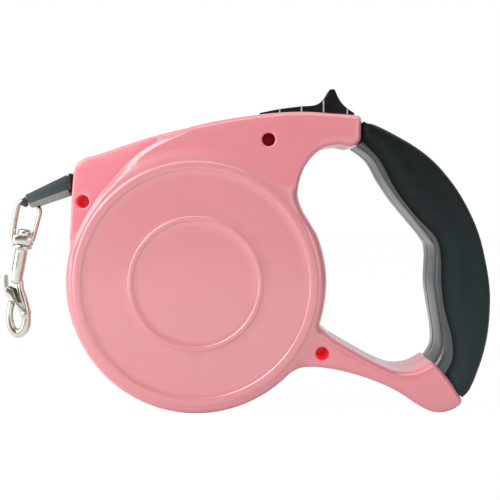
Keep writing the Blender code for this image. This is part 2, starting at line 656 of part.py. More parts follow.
def tape_loop(sleeve_frame):
    """The tape's gathered end: out of the sleeve and once round the ring's top bar."""
    snap = Matrix.Rotation(math.radians(SNAP_TILT_DEG), 4, "Y")
    back = Matrix.Rotation(math.radians(SLEEVE_DROOP_DEG), 4, "Y")
    bar = Vector((SNAP_TOP[0], 0, SNAP_TOP[1])) + snap @ Vector((BAR_AT[0], 0, -BAR_AT[1]))
    bar = back @ (bar - Vector((SLEEVE_START[0], 0, SLEEVE_START[1])))
    bar_turn = SNAP_TILT_DEG + BAR_TILT_DEG + SLEEVE_DROOP_DEG

    def along_bar(radius, half_length):
        tube = turn(rod((0, 0), radius, -half_length, half_length, sides=16), "Z", 90)
        return move(turn(tube, "Y", bar_turn), bar.x, 0, bar.z)

    piece = keep(along_bar(RING_WIRE_R + 1.1, 1.25), "tape_loop", "black_tape", sleeve_frame)
    neck = [(-SLEEVE_TAPE_LENGTH - GAP, 0.0), (-16.0, 0.25), (-18.9, 1.55)]
    join(piece, plate([strip(neck, 0.9)], -1.8, 1.8), frame=sleeve_frame)
    cut(piece, along_bar(RING_WIRE_R + GAP, 6.0), frame=sleeve_frame)


# ---------------------------------------------------------------- snap, in its own (u, v) frame

def down(points):
    """Points given as (u, v), with v down the snap, in the frame's own X and Z."""
    return [(u, -v) for u, v in points]


def swivel_ring(frame):
    """The wire ring, with the thick foot that the snap swivels in."""
    wire_ring = wire([(u, 0, -v) for u, v in RING_LINE], RING_WIRE_R, resolution=2, cyclic=True)
    piece = keep(wire_ring, "swivel_ring", "nickel", frame)
    across, through, tall = RING_FOOT
    join(piece, box(across, through, (-tall[1], -tall[0])), frame=frame)
    cut(piece, turned([(0, -20), (STUD_R + GAP, -20), (STUD_R + GAP, -10), (0, -10)], 16, "Z"), frame=frame)


def snap_hook(frame):
    """The barrel and the curved hook, slotted at the left for the gate's tab."""
    top, bottom = BARREL_V
    profile = [(0.0, -top + 0.9), (3.0, -top + 0.9), (3.9, -top + 0.5), (3.9, -top - 0.3), (BARREL_R, -top - 1.1),
               (BARREL_R, -bottom + 0.3), (BARREL_R - 0.3, -bottom), (0.0, -bottom)]
    piece = keep(turned(profile, 20, "Z"), "snap_hook", "nickel", frame)
    spine = [(1.5, 31.6, 1.25), (2.6, 35.3, 1.3), (4.55, 39.5, 1.55), (6.15, 43.3, 1.6), (6.9, 46.6, 1.75),
             (7.05, 49.5, 1.9), (6.2, 51.9, 1.9), (4.3, 53.1, 1.85), (2.0, 51.9, 1.7), (0.45, 49.0, 1.5),
             (-0.2, 46.0, 1.35), (-0.4, 43.4, 1.4), (-0.3, 40.9, 1.45)]
    path = smooth(spine, 2)
    arm = wire([(u, 0, -v) for u, v, r in path], 1.0, resolution=2, radii=[r for u, v, r in path])
    join(piece, arm, frame=frame)
    slot = box((-4.0, 1.3), (-1.65, 1.65), (-37.0, -27.0))
    bore = turned([(0, -16), (STUD_R + GAP, -16), (STUD_R + GAP, -25), (0, -25)], 16, "Z")
    pin_at = down([GATE_PIVOT])[0]
    pin_bore = rod(pin_at, GATE_PIN_BORE_R, -4, 4, sides=12)
    coil_room = rod(pin_at, GATE_COIL_R + 0.75, 0.3, 4, sides=16)
    cut(piece, slot, bore, pin_bore, coil_room, frame=frame)


def snap_small_parts(frame):
    """The stud that the snap hangs by, the gate's pin and the gate's little torsion spring."""
    stud = turned([(0.0, -10.5), (1.9, -10.6), (2.6, -11.1), (2.8, -11.8), (2.8, -12.9), (STUD_R, -12.95),
                   (STUD_R, -24.0), (0.0, -24.0)], 16, "Z")
    keep(stud, "swivel_stud", "nickel", frame)
    at = down([GATE_PIVOT])[0]
    keep(rod(at, GATE_PIN_R, -3.1, 3.1, sides=12), "gate_pin", "steel", frame)
    turns, steps = 2, 10
    coil = [(at[0] + GATE_COIL_R * math.cos(math.tau * i / steps), 0.75 + 0.9 * i / (turns * steps),
             at[1] + GATE_COIL_R * math.sin(math.tau * i / steps)) for i in range(turns * steps + 1)]
    keep(wire(coil, 0.18, resolution=1), "gate_spring", "spring_steel", frame)


def gate_lever(frame):
    """The gate: a stamped channel that straddles the hook's arm, with its thumb tab at the left."""
    pu, pv = GATE_PIVOT
    cheek = [(-3.1, 36.6), (-2.7, 38.4), (-0.5, 39.05), (1.35, 40.2), (2.9, 42.0), (4.1, 43.85), (4.9, 45.4),
             (5.8, 46.4), (7.0, 46.3), (7.8, 45.2), (7.7, 43.8), (6.8, 42.9), (5.2, 42.4), (3.6, 40.9),
             (2.1, 39.3), (1.0, 37.3), (0.1, 35.5), (-2.9, 34.8)]
    inner = [(-2.4, 33.0), (-2.2, 37.7), (-0.3, 38.45), (1.2, 39.4), (2.2, 40.6), (2.2, 48.0), (9.5, 48.0),
             (9.5, 33.0)]
    tab = [(-5.35, 30.35), (-4.0, 30.3), (-3.0, 35.0), (-2.0, 35.4), (-1.9, 37.4), (-3.4, 37.6), (-4.2, 36.85)]
    hole = arc((pu, -pv), GATE_PIN_BORE_R, 0, 330, 12)

    def placed(tool):
        return move(tool, -pu, 0, pv)

    piece = keep(placed(plate([down(cheek), hole], -2.9, 2.9)), "gate_lever", "nickel", frame)
    cut(piece, placed(plate([down(inner)], -2.3, 2.3)), frame=frame)
    join(piece, placed(plate([down(tab)], -1.3, 1.3)), frame=frame)


# ---------------------------------------------------------------- the whole

def build():
    shell(-1)
    shell(1)
    for where in SCREW_SPOTS:
        case_screw(where)
    handle_core(-1)
    handle_core(1)
    grip_pad()
    mouth_guide()
    axle_parts()
    reel(empty("reel_axis", (0, 0, 0), ORIGIN))

    button_at = (45.0, 66.0)
    button_axis = empty("button_axis", (button_at[0], 0, button_at[1]), ORIGIN)
    pawl_axis = empty("pawl_axis", (PAWL_PIVOT[0], 0, PAWL_PIVOT[1]), ORIGIN)
    brake({"empty": button_axis, "at": button_at}, pawl_axis)

    leash_axis = empty("leash_axis", (MOUTH[0], 0, MOUTH[1]), ORIGIN)
    tape_run(leash_axis, MOUTH)
    sleeve_at = (SLEEVE_START[0] - MOUTH[0], 0, SLEEVE_START[1] - MOUTH[1])
    sleeve_axis = empty("sleeve_axis", sleeve_at, leash_axis, -SLEEVE_DROOP_DEG)
    stop_sleeve(sleeve_axis)
    tape_loop(sleeve_axis)

    snap_axis = empty("snap_axis", (SNAP_TOP[0], 0, SNAP_TOP[1]), ORIGIN, SNAP_TILT_DEG)
    swivel_ring(snap_axis)
    snap_hook(snap_axis)
    snap_small_parts(snap_axis)
    gate_axis = empty("gate_axis", (GATE_PIVOT[0], 0, -GATE_PIVOT[1]), snap_axis)
    gate_lever(gate_axis)


clear_scene()
PARTS = collection("retractable_leash")
CUTTERS = collection("cutters")
CUTTERS.hide_render = True
ORIGIN = empty("reel_origin", (REEL_X, 0, REEL_Z))
build()
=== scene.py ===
"""Looks for the retractable leash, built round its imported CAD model.

Positions are in millimetres from the reel's axis, with +X towards the handle, -X towards the mouth of
the case and +Z up. Every piece rides on the CAD body that it belongs to.
"""

import json
import math

import bmesh
import bpy
import numpy as np
from mathutils import Matrix, Vector
from mathutils.geometry import delaunay_2d_cdt

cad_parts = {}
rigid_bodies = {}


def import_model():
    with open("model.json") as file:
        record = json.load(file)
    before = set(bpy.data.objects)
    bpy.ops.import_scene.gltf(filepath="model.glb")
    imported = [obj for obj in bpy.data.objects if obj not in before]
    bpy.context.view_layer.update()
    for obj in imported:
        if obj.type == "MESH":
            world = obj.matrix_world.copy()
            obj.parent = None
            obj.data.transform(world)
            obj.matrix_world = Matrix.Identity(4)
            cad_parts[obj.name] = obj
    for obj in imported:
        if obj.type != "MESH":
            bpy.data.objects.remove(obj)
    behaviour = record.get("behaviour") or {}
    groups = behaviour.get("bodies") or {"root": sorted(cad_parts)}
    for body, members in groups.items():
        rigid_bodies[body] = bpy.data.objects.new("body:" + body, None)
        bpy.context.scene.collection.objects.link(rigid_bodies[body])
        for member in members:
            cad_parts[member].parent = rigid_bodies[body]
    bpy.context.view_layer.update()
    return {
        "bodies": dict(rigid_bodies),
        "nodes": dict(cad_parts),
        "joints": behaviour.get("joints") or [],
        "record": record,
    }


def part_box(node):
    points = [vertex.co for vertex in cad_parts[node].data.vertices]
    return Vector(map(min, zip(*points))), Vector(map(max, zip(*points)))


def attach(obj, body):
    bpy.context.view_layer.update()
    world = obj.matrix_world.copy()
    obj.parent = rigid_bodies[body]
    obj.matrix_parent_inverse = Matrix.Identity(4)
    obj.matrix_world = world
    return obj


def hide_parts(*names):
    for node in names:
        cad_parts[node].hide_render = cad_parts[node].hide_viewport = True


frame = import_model()

MM = 0.001
pack_low, pack_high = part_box("leash_pack")
REEL = (pack_low + pack_high) / 2

# Case
DRUM_R = 52.0
DRUM_FACE = 13.7        # half of the thickness over the drum's face
DECK_FACE = 12.6        # the same over the deck above the drum, the arm and the tail
DECK_HALF = 12.2        # the same on the CAD's deck, and on the grip
NOSE_HALF = 9.8
NOSE_TAPER = (0.35, -50.0, 30.0)        # how much thinner at the mouth, from which X, over how far
DRUM_SLOPE = (48.9, 6.0)        # where the drum's face starts to slope down to the deck, and over how far
WALL = 2.2
REEL_ROOM = (49.4, 11.6)        # radius and half of the width of the hollow for the reel
SEAM = 0.1
SEAM_BEVEL = 0.2
TAIL_END_DEG = -43.8
NOSE_END_DEG = 172.0
HOLE_TOP_DEG = 22.0
HOLE_BOTTOM_DEG = -19.2
SCREW_SPOTS = ((-45.2, 32.4), (28.8, 56.9), (50.0, -27.7))
RECESS_R = 2.6
RECESS_FLOOR = 4.0
RECESS_LIP = 0.7
BOSS_WALL = 1.6
SHANK_R = 1.6
OUTLINE_SPACING = 0.8
EDGE_ROUNDING = 2.3
RIM_ROUNDING = 1.1      # how much more the drum's rim is rounded
NOSE_ROUNDING = 1.3
EDGE_STRETCH = 1.5      # how much deeper the rounding is than it is wide

# Beads on the drum's face: inner radius, outer radius, flank width, height
OUTER_BEAD = (44.6, 48.6, 0.9, 0.5)
INNER_BEAD = (24.5, 26.9, 0.7, 0.42)

# How much of the step has risen at each distance across it: a steep wall, then a wide bevel
STEP_PROFILE = ((-0.35, -0.1, 0.15, 0.3, 0.45, 1.65, 1.8, 2.0),
                (0.0, 0.07, 0.64, 0.74, 0.775, 0.965, 0.985, 1.0))

# Grip pad: half of its width at the groove, beside it and over the back of the hand
PAD_HALVES = (8.6, 9.6, 12.2)
PAD_SLOPE = 8.0         # how far from the groove it reaches its full width
PAD_BEND = 4.6          # how deep its rounded back is

# Tape, sleeve and snap
COLLAR_FACE = -51.4
SLEEVE_START = (-51.7, 39.2)
SLEEVE_DROOP_DEG = 22.5
SLEEVE_HALF = 6.0
TAPE_HALF = 5.0
# The sleeve's two ends: reach, top, bottom, cut of the lower corners
SLEEVE_ENDS = ((-0.7, 3.85, -4.2, 2.3), (17.6, 2.75, -2.85, 1.7))
SNAP_TOP = (-68.66, 31.39)
STUD_BORE_R = 1.4
SNAP_TILT_DEG = 10.0
BAR_AT = (-1.85, -0.46)
BAR_TILT_DEG = 10.6
GATE_PIVOT = (6.3, 44.6)
WIRE_TURN_DEG = 50.0
FOOT_TURN_DEG = 15.0

# Studio, in metres and watts
CAMERA_AT_MM = (15.5, -328, 33)
CAMERA_LENS = 57.6
CAMERA_SHIFT = (0.03, -0.10)
FRONT_LIGHT, SIDE_LIGHT, BACK_LIGHT = 0.16, 0.35, 0.75
FLOOR_WHITE = 0.985
LIGHTS_AIM = (0, 0, 0.05)
LIGHTS = (("key", (-0.45, -0.45, 0.50), (0.45, 0.45), 3.9),
          ("side", (-0.60, -0.20, 0.20), (0.45, 0.5), 2.3),
          ("top", (0.05, -0.15, 0.70), (0.6, 0.25), 1.5),
          ("fill", (0.45, -0.50, 0.20), (0.4, 0.4), 0.8))

# Curves of the case and the handle, seen from the side
TOP_EDGE = [(-51.2, 12.0), (-50.6, 19.0), (-50.1, 30.0), (-49.3, 42.0), (-48.2, 47.0), (-44.4, 49.8),
            (-39.3, 51.2), (-20.0, 57.6), (0.0, 62.8), (20.0, 66.4), (41.0, 68.2), (63.0, 66.8), (65.9, 65.9)]
ARM_END = [(65.6, 56.3), (62.0, 53.7)]
HOLE_EDGE = [(56.7, 54.9), (49.5, 53.0), (43.2, 46.0), (40.5, 36.2), (42.6, 28.5)]
TAIL_TOP = [(54.0, -21.6), (62.5, -26.6), (72.6, -32.1), (80.2, -35.0), (87.8, -34.3), (93.8, -30.9)]
TAIL_END = [(97.4, -34.2), (102.5, -40.8), (106.2, -47.2)]
TAIL_BOTTOM = [(102.4, -50.2), (97.5, -51.5), (93.0, -50.9), (88.0, -48.4), (79.1, -42.6), (68.3, -38.0),
               (57.0, -34.8), (47.1, -33.4), (41.5, -33.9)]
STEP_LINE = [(-52.0, 8.0), (-49.6, 14.5), (-47.5, 19.1), (-43.4, 27.0), (-38.2, 35.0), (-34.0, 39.9),
             (-28.1, 46.6), (-21.6, 52.4), (-14.0, 56.9), (-5.1, 60.9), (4.0, 65.5)]
GRIP_BACK = [(66.6, 65.0), (73.5, 62.6), (86.7, 55.4), (95.9, 48.2), (103.9, 38.6), (109.5, 29.0),
             (113.5, 19.4), (115.9, 9.8), (117.5, 0.2), (117.9, -8.0), (117.1, -19.0), (115.1, -28.6),
             (111.8, -38.0), (109.6, -42.8), (107.1, -47.0)]
PALM_EDGE = [(94.2, -31.8), (97.0, -27.0), (97.2, -20.0), (95.3, -8.0), (94.4, 0.0), (94.8, 12.0),
             (92.6, 17.6), (81.2, 31.6), (75.0, 40.5), (70.1, 49.0), (63.5, 54.3)]
GROOVE = [(98.7, -35.8), (101.2, -31.0), (101.8, -26.6), (101.0, -20.0), (98.4, -10.0), (97.2, 0.0),
          (97.0, 10.3), (95.0, 18.2), (86.3, 27.6), (79.0, 37.4), (73.0, 48.6), (66.3, 55.8)]


# ---------------------------------------------------------------- curves and distances, in the XZ plane

def arc(radius, start_deg, end_deg, count):
    """Points on a circle round the reel's axis, both ends included."""
    angles = np.radians(np.linspace(start_deg, end_deg, count))
    return [(radius * math.cos(a), radius * math.sin(a)) for a in angles]


def smooth(points, per_span=8):
    """A Catmull-Rom curve through the points."""
    ends = [points[0]] + list(points) + [points[-1]]
    made = []
    for a, b, c, d in zip(ends, ends[1:], ends[2:], ends[3:]):
        for i in range(per_span):
            t = i / per_span
            made.append(tuple(
                0.5 * (2 * q + (r - p) * t + (2 * p - 5 * q + 4 * r - s) * t ** 2
                       + (3 * q - p - 3 * r + s) * t ** 3)
                for p, q, r, s in zip(a, b, c, d)))
    return made + [tuple(points[-1])]


def resample(path, count, closed=False):
    """The same path with evenly spaced points."""
    path = np.array(path, float)
    if closed:
        path = np.vstack([path, path[:1]])
    along = np.concatenate([[0], np.cumsum(np.linalg.norm(np.diff(path, axis=0), axis=1))])
    wanted = np.linspace(0, along[-1], count, endpoint=not closed)
    return np.column_stack([np.interp(wanted, along, path[:, k]) for k in range(path.shape[1])])


def length_of(path):
    """How long an open path is."""
    return float(np.linalg.norm(np.diff(np.array(path, float), axis=0), axis=1).sum())


def relax(loop, times):
    """Rounds a closed loop's corners a little."""
    for _ in range(times):
        loop = 0.5 * loop + 0.25 * (np.roll(loop, 1, axis=0) + np.roll(loop, -1, axis=0))
    return loop


def outward(loop):
    """The outward direction at each point of a clockwise loop."""
    along = np.roll(loop, -1, axis=0) - np.roll(loop, 1, axis=0)
    normal = np.column_stack([-along[:, 1], along[:, 0]])
    return normal / np.linalg.norm(normal, axis=1)[:, None]


def distance(points, path, closed=True):
    """How far each point lies from a path."""
    starts = np.array(path, float)
    ends = np.roll(starts, -1, axis=0)
    if not closed:
        starts, ends = starts[:-1], ends[:-1]
    best = np.full(len(points), 1e9)
    for a, b in zip(starts, ends):
        edge = b - a
        t = np.clip(((points - a) @ edge) / max(edge @ edge, 1e-12), 0, 1)
        best = np.minimum(best, np.linalg.norm(points - a - t[:, None] * edge, axis=1))
    return best


def inside(points, loop):
    """Which points lie inside a closed loop."""
    found = np.zeros(len(points), bool)
    x, z = points[:, 0], points[:, 1]
    for (xa, za), (xb, zb) in zip(loop, np.roll(loop, -1, axis=0)):
        crosses = (za > z) != (zb > z)
        found ^= crosses & (x < (xb - xa) * (z - za) / (zb - za if zb != za else 1e-12) + xa)
    return found


def inset(loop, amount):
    """A clockwise loop moved inwards, without the points that would fold over."""
    moved = loop - outward(loop) * amount
    return moved[distance(moved, loop) > 0.97 * abs(amount)]


def smoothstep(t):
    """An even ease from nought to one."""
    t = np.clip(t, 0, 1)
    return t * t * (3 - 2 * t)


# ---------------------------------------------------------------- meshes

def local_frame(x, z, turn_y_deg=0.0):
    """Millimetres in a frame at a place on the reel's middle plane, turned about Y, as metres in the part."""
    turned = Matrix.Rotation(math.radians(turn_y_deg), 4, "Y")
    return Matrix.Translation(REEL + Vector((x, 0, z)) * MM) @ turned @ Matrix.Scale(MM, 4)


BODY = local_frame(0, 0)
SNAP = local_frame(*SNAP_TOP, SNAP_TILT_DEG)
SLEEVE = local_frame(*SLEEVE_START, -SLEEVE_DROOP_DEG)


def new_object(bm, name):
    """An object in the scene from a finished bmesh."""
    mesh = bpy.data.meshes.new(name)
    bm.to_mesh(mesh)
    bm.free()
    made = bpy.data.objects.new(name, mesh)
    bpy.context.scene.collection.objects.link(made)
    return made


def solid(name, points, faces, frame=BODY):
    """A closed mesh from points in millimetres."""
    bm = bmesh.new()
    corners = [bm.verts.new(frame @ Vector(p)) for p in points]
    for face in faces:
        bm.faces.new([corners[i] for i in face])
    bmesh.ops.recalc_face_normals(bm, faces=bm.faces)
    return new_object(bm, name)


def prism(outline, y_low, y_high, frame=BODY, name="prism"):
    """A straight solid between two Y planes."""
    outline = [tuple(p) for p in outline]
    count = len(outline)
    points = [(x, y, z) for y in (y_low, y_high) for x, z in outline]
    faces = [list(range(count)), list(range(2 * count - 1, count - 1, -1))]
    faces += [(i, (i + 1) % count, count + (i + 1) % count, count + i) for i in range(count)]
    return solid(name, points, faces, frame)


def circle(centre, radius, count=40):
    """Points on a circle round any place."""
    return [(centre[0] + x, centre[1] + z) for x, z in arc(radius, 0, 360 - 360 / count, count)]


def evaluated(piece):
    """Works a piece's modifiers into its mesh."""
    depsgraph = bpy.context.evaluated_depsgraph_get()
    mesh = bpy.data.meshes.new_from_object(piece.evaluated_get(depsgraph))
    piece.modifiers.clear()
    piece.data = mesh
    return piece


def boolean(target, tools, operation):
    """Cuts the tools from the target or joins them to it, and takes the tools away."""
    for tool in tools:
        modifier = target.modifiers.new("boolean", "BOOLEAN")
        modifier.operation = operation
        modifier.solver = "MANIFOLD"
        modifier.object = tool
    evaluated(target)
    for tool in tools:
        bpy.data.objects.remove(tool)
    return target


def shade(piece, sharp_deg=32):
    """Smooth shading, with edges sharper than the angle left crisp."""
    piece.data.shade_smooth()
    piece.data.set_sharp_from_angle(angle=math.radians(sharp_deg))
    return piece


def done(piece, body, material, slot, *replaced):
    """Gives a finished piece its material, its body and the CAD nodes that it stands for."""
    piece.data.materials.clear()
    piece.data.materials.append(material)
    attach(piece, body)
    if replaced:
        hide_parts(*replaced)
    return piece


# ---------------------------------------------------------------- the pink case

def case_outline():
    """The whole case seen from its side, clockwise, with evenly spaced points."""
    drum_right = arc(DRUM_R, HOLE_TOP_DEG, HOLE_BOTTOM_DEG, 40)
    drum_low = arc(DRUM_R, TAIL_END_DEG, NOSE_END_DEG - 360, 140)
    rough = (smooth(TOP_EDGE) + ARM_END + smooth(HOLE_EDGE) + drum_right + smooth(TAIL_TOP)
             + TAIL_END + smooth(TAIL_BOTTOM) + drum_low)
    count = int(length_of(rough) / OUTLINE_SPACING)
    return relax(resample(rough, count, closed=True), 3)


OUTLINE = case_outline()
STEP = resample(smooth(STEP_LINE), 120)


def bead(radius, low, high, flank, height):
    """A flat-topped bead between two radii."""
    rise = smoothstep((radius - low) / flank)
    fall = smoothstep((high - radius) / flank)
    return height * np.minimum(rise, fall)


def from_step(points):
    """Distance from the step: positive on the deck's side of it, and negative on the nose."""
    away = distance(points, STEP, closed=False)
    nose = np.vstack([STEP, [(-30, 90), (-90, 90), (-90, 8)]])
    return np.where(inside(points, nose), -away, away)


def edge_radius(points):
    """How round the case's edge is: most on the drum's rim, least on the nose."""
    radius = np.hypot(points[:, 0], points[:, 1])
    common = EDGE_ROUNDING + RIM_ROUNDING * (1 - smoothstep((radius - DRUM_R - 0.3) / 4.0))
    nose = smoothstep(-from_step(points) / 2.5) * smoothstep((points[:, 1] - 12) / 8)
    return common + (NOSE_ROUNDING - common) * nose


def case_half(points):
    """Half of the case's thickness at each point."""
    radius = np.hypot(points[:, 0], points[:, 1])
    slope_start, slope_width = DRUM_SLOPE
    deck = DECK_FACE + (DRUM_FACE - DECK_FACE) * (1 - smoothstep((radius - slope_start) / slope_width))
    fall, fall_start, fall_width = NOSE_TAPER
    nose = NOSE_HALF - fall * (1 - smoothstep((points[:, 0] - fall_start) / fall_width))
    level = nose + (deck - nose) * np.interp(from_step(points), *STEP_PROFILE)
    level += bead(radius, *OUTER_BEAD) + bead(radius, *INNER_BEAD)
    rounding = edge_radius(points)
    short = np.clip(rounding - distance(points, OUTLINE), 0, None)
    level -= EDGE_STRETCH * (rounding - np.sqrt(np.clip(rounding ** 2 - short ** 2, 0, None)))
    return level


def lip(points):
    """The rounded lip of each screw recess."""
    drop = np.zeros(len(points))
    for spot in SCREW_SPOTS:
        short = np.clip(RECESS_R + RECESS_LIP - np.linalg.norm(points - spot, axis=1), 0, RECESS_LIP)
        drop += RECESS_LIP - np.sqrt(RECESS_LIP ** 2 - short ** 2)
    return drop


def case_lines(side):
    """The lines that the face's triangles follow: rounded edge, beads, step and recess lips."""
    lines = [(OUTLINE, True)]
    radii = edge_radius(OUTLINE)
    normals = outward(OUTLINE)
    for angle in (14, 28, 42, 56, 70, 82):
        away = radii * (1 - math.cos(math.radians(angle)))
        moved = OUTLINE - normals * away[:, None]
        kept = distance(moved, OUTLINE) > 0.97 * away
        for run in np.split(np.arange(len(moved)), np.where(~kept)[0]):
            run = [i for i in run if kept[i]]
            if len(run) > 1:
                lines.append((moved[run], False))
    low_out, high_out, flank_out, _ = OUTER_BEAD
    low_in, high_in, flank_in, _ = INNER_BEAD
    fractions = (0.0, 0.25, 0.5, 0.75, 1.0)
    rings = [low_out + flank_out * f for f in fractions] + [high_out - flank_out * f for f in fractions]
    rings += [low_in + flank_in * f for f in fractions] + [high_in - flank_in * f for f in fractions]
    rings += [10, 18, 22, 31, 37, 42]       # on the flat stretches between the beads
    lines += [(np.array(arc(r, 0, 360 - 360 / 200, 200)), True) for r in rings]
    for r in (49.6, 50.5, 51.5, 52.6, 53.7, 54.9):      # down the slope to the deck
        lines.append((np.array(arc(r, HOLE_TOP_DEG + 4, NOSE_END_DEG - 4, 150)), False))
    across = np.gradient(STEP, axis=0)
    across = np.column_stack([across[:, 1], -across[:, 0]]) / np.linalg.norm(across, axis=1)[:, None]
    for away in STEP_PROFILE[0]:
        lines.append((STEP + across * away, False))
    if side < 0:
        for spot in SCREW_SPOTS:
            for extra in (0.0, 0.1, 0.25, 0.45, RECESS_LIP):
                lines.append((np.array(circle(spot, RECESS_R + extra)), True))
    return lines


def fill_points(lines, spacing=3.0, clear=1.3):
    """Loose points for the flat stretches between the lines."""
    low, high = OUTLINE.min(0), OUTLINE.max(0)
    xs, zs = np.arange(low[0], high[0], spacing), np.arange(low[1], high[1], spacing)
    grid = np.array([(x + (j % 2) * spacing / 2, z) for j, z in enumerate(zs) for x in xs])
    grid = grid[inside(grid, OUTLINE)]
    for line, closed in lines:
        grid = grid[distance(grid, line[::2], closed) > clear]
    return grid


def case_shell(side):
    """One half of the case: a fine face, a wall down to the seam, and hollow inside."""
    lines = case_lines(side)
    points, edges = [], []
    for line, closed in lines:
        kept = inside(line, OUTLINE) if line is not lines[0][0] else np.ones(len(line), bool)
        first = len(points)
        points += [tuple(p) for p in line]
        count = len(line)
        for i in range(count if closed else count - 1):
            if kept[i] and kept[(i + 1) % count]:
                edges.append((first + i, first + (i + 1) % count))
    points += [tuple(p) for p in fill_points(lines)]
    made = delaunay_2d_cdt([Vector(p) for p in points], edges, [], 0, 1e-4)
    flat = np.array([tuple(v) for v in made[0]])
    triangles = np.array([f for f in made[2]])
    triangles = triangles[inside(flat[triangles].mean(axis=1), OUTLINE)]
    place = {source: i for i, sources in enumerate(made[3]) for source in sources}
    half = case_half(flat)
    if side < 0:
        half -= lip(flat)

    bm = bmesh.new()
    used = sorted(set(triangles.ravel()))
    corners = {i: bm.verts.new(BODY @ Vector((flat[i][0], side * half[i], flat[i][1]))) for i in used}
    for triangle in triangles:
        bm.faces.new([corners[i] for i in triangle])
    rim = [corners[place[i]] for i in range(len(OUTLINE))]
    seam = OUTLINE - outward(OUTLINE) * SEAM_BEVEL
    rows = [rim]
    for loop, y in ((OUTLINE, SEAM + 4.0), (OUTLINE, SEAM + 0.25), (seam, SEAM)):
        rows.append([bm.verts.new(BODY @ Vector((x, side * y, z))) for x, z in loop])
    for upper, lower in zip(rows, rows[1:]):
        for i in range(len(upper)):
            j = (i + 1) % len(upper)
            bm.faces.new((upper[i], upper[j], lower[j], lower[i]))
    bm.faces.new(rows[-1])
    bmesh.ops.recalc_face_normals(bm, faces=bm.faces)
    shell = new_object(bm, "case_left" if side < 0 else "case_right")

    hollow = [prism(inset(OUTLINE, WALL), -side, side * (NOSE_HALF - WALL)),
              prism(circle((0, 0), REEL_ROOM[0], 120), -side, side * REEL_ROOM[1])]
    slot = prism([(19.3, 62), (19.3, 72), (64.9, 72), (64.9, 62)], -5.5, 5.5)
    mouth = prism([(-56, 35.7), (-56, 43.3), (-44, 43.3), (-44, 35.7)], -6.6, 6.6)
    boolean(shell, hollow + [slot, mouth], "DIFFERENCE")
    if side < 0:
        bosses = [prism(circle(spot, RECESS_R + BOSS_WALL, 32), -0.4, 0.6 - NOSE_HALF)
                  for spot in SCREW_SPOTS]
        boolean(shell, bosses, "UNION")
        wells = [prism(circle(spot, RECESS_R), -RECESS_FLOOR, -16) for spot in SCREW_SPOTS]
        shafts = [prism(circle(spot, SHANK_R, 20), -RECESS_FLOOR - 1, 1) for spot in SCREW_SPOTS]
        boolean(shell, wells + shafts, "DIFFERENCE")
    return shade(shell)


def colour_wells(shell, wells):
    """Paints each screw well deep red: painted shade and reflection, standing in for how pink plastic looks
    between close walls.
    """
    for well in wells:
        shell.data.materials.append(well)
    for number, spot in enumerate(SCREW_SPOTS, start=1):
        rim = float(case_half(np.array([spot]))[0]) - 0.5
        for face in shell.data.polygons:
            x, y, z = (face.center - REEL) / MM
            near = math.hypot(x - spot[0], z - spot[1]) < RECESS_R + 0.05
            if near and RECESS_FLOOR - 0.1 < -y < rim:
                face.material_index = number


def colour_underside(stop, pale):
    """Paints the sleeve's two cut-away corners and its bottom paler: a painted reflection of the white floor
    below them.
    """
    stop.data.materials.append(pale)
    up = (SLEEVE.to_3x3() @ Vector((0, 0, 1))).normalized()
    for face in stop.data.polygons:
        if -0.97 < face.normal.dot(up) < -0.35:
            face.material_index = 1


# ---------------------------------------------------------------- shape builders

def loft(rows, frame=BODY, name="loft", ring=False):
    """A solid through closed rows of points. A ring joins its last row to its first, and has no ends."""
    count = len(rows[0])
    points = [p for row in rows for p in row]
    spans = len(rows) if ring else len(rows) - 1
    faces = []
    for k in range(spans):
        a, b = k * count, (k + 1) % len(rows) * count
        faces += [(a + i, a + (i + 1) % count, b + (i + 1) % count, b + i) for i in range(count)]
    if not ring:
        faces += [list(range(count)), list(range(len(points) - count, len(points)))]
    return solid(name, points, faces, frame)


def lathe(profile, frame=BODY, steps=48, name="lathe", along_y=False):
    """A profile of (radius, height) points turned round Z, or round Y. Its ends are closed with flat caps."""
    rows = []
    for radius, height in profile:
        row = []
        for i in range(steps):
            angle = math.tau * i / steps
            a, b = radius * math.cos(angle), radius * math.sin(angle)
            row.append((a, height, b) if along_y else (a, b, height))
        rows.append(row)
    return loft(rows, frame, name)


def superellipse(half_a, half_b, power=2.6, count=20):
    """A rounded section as (a, b) pairs."""
    made = []
    for i in range(count):
        angle = math.tau * i / count
        c, s = math.cos(angle), math.sin(angle)
        made.append((half_a * math.copysign(abs(c) ** (2 / power), c),
                     half_b * math.copysign(abs(s) ** (2 / power), s)))
    return made


def sweep(path, sections, frame=BODY, name="sweep", ring=False):
    """Sections of (sideways, Y) pairs carried along a path in the XZ plane."""
    path = np.array(path, float)
    if ring:
        along = np.roll(path, -1, axis=0) - np.roll(path, 1, axis=0)
    else:
        along = np.gradient(path, axis=0)
    along /= np.linalg.norm(along, axis=1)[:, None]
    rows = []
    for (x, z), (tx, tz), section in zip(path, along, sections):
        rows.append([(x - tz * a, b, z + tx * a) for a, b in section])
    return loft(rows, frame, name, ring)


def block(x, y, z, frame=BODY, name="block"):
    """A box from its low and high values on each axis."""
    return prism([(x[0], z[0]), (x[0], z[1]), (x[1], z[1]), (x[1], z[0])], y[0], y[1], frame, name)


def rounded(piece, width, segments=3, angle_deg=30):
    """Rounds a piece's edges."""
    modifier = piece.modifiers.new("bevel", "BEVEL")
    modifier.width = width * MM
    modifier.segments = segments
    modifier.limit_method = "ANGLE"
    modifier.angle_limit = math.radians(angle_deg)
    modifier.use_clamp_overlap = True
    return evaluated(piece)


def joined(pieces, name):
    """Several loose solids as one piece."""
    bm = bmesh.new()
    for piece in pieces:
        bm.from_mesh(piece.data)
        bpy.data.objects.remove(piece)
    return new_object(bm, name)


# ---------------------------------------------------------------- materials

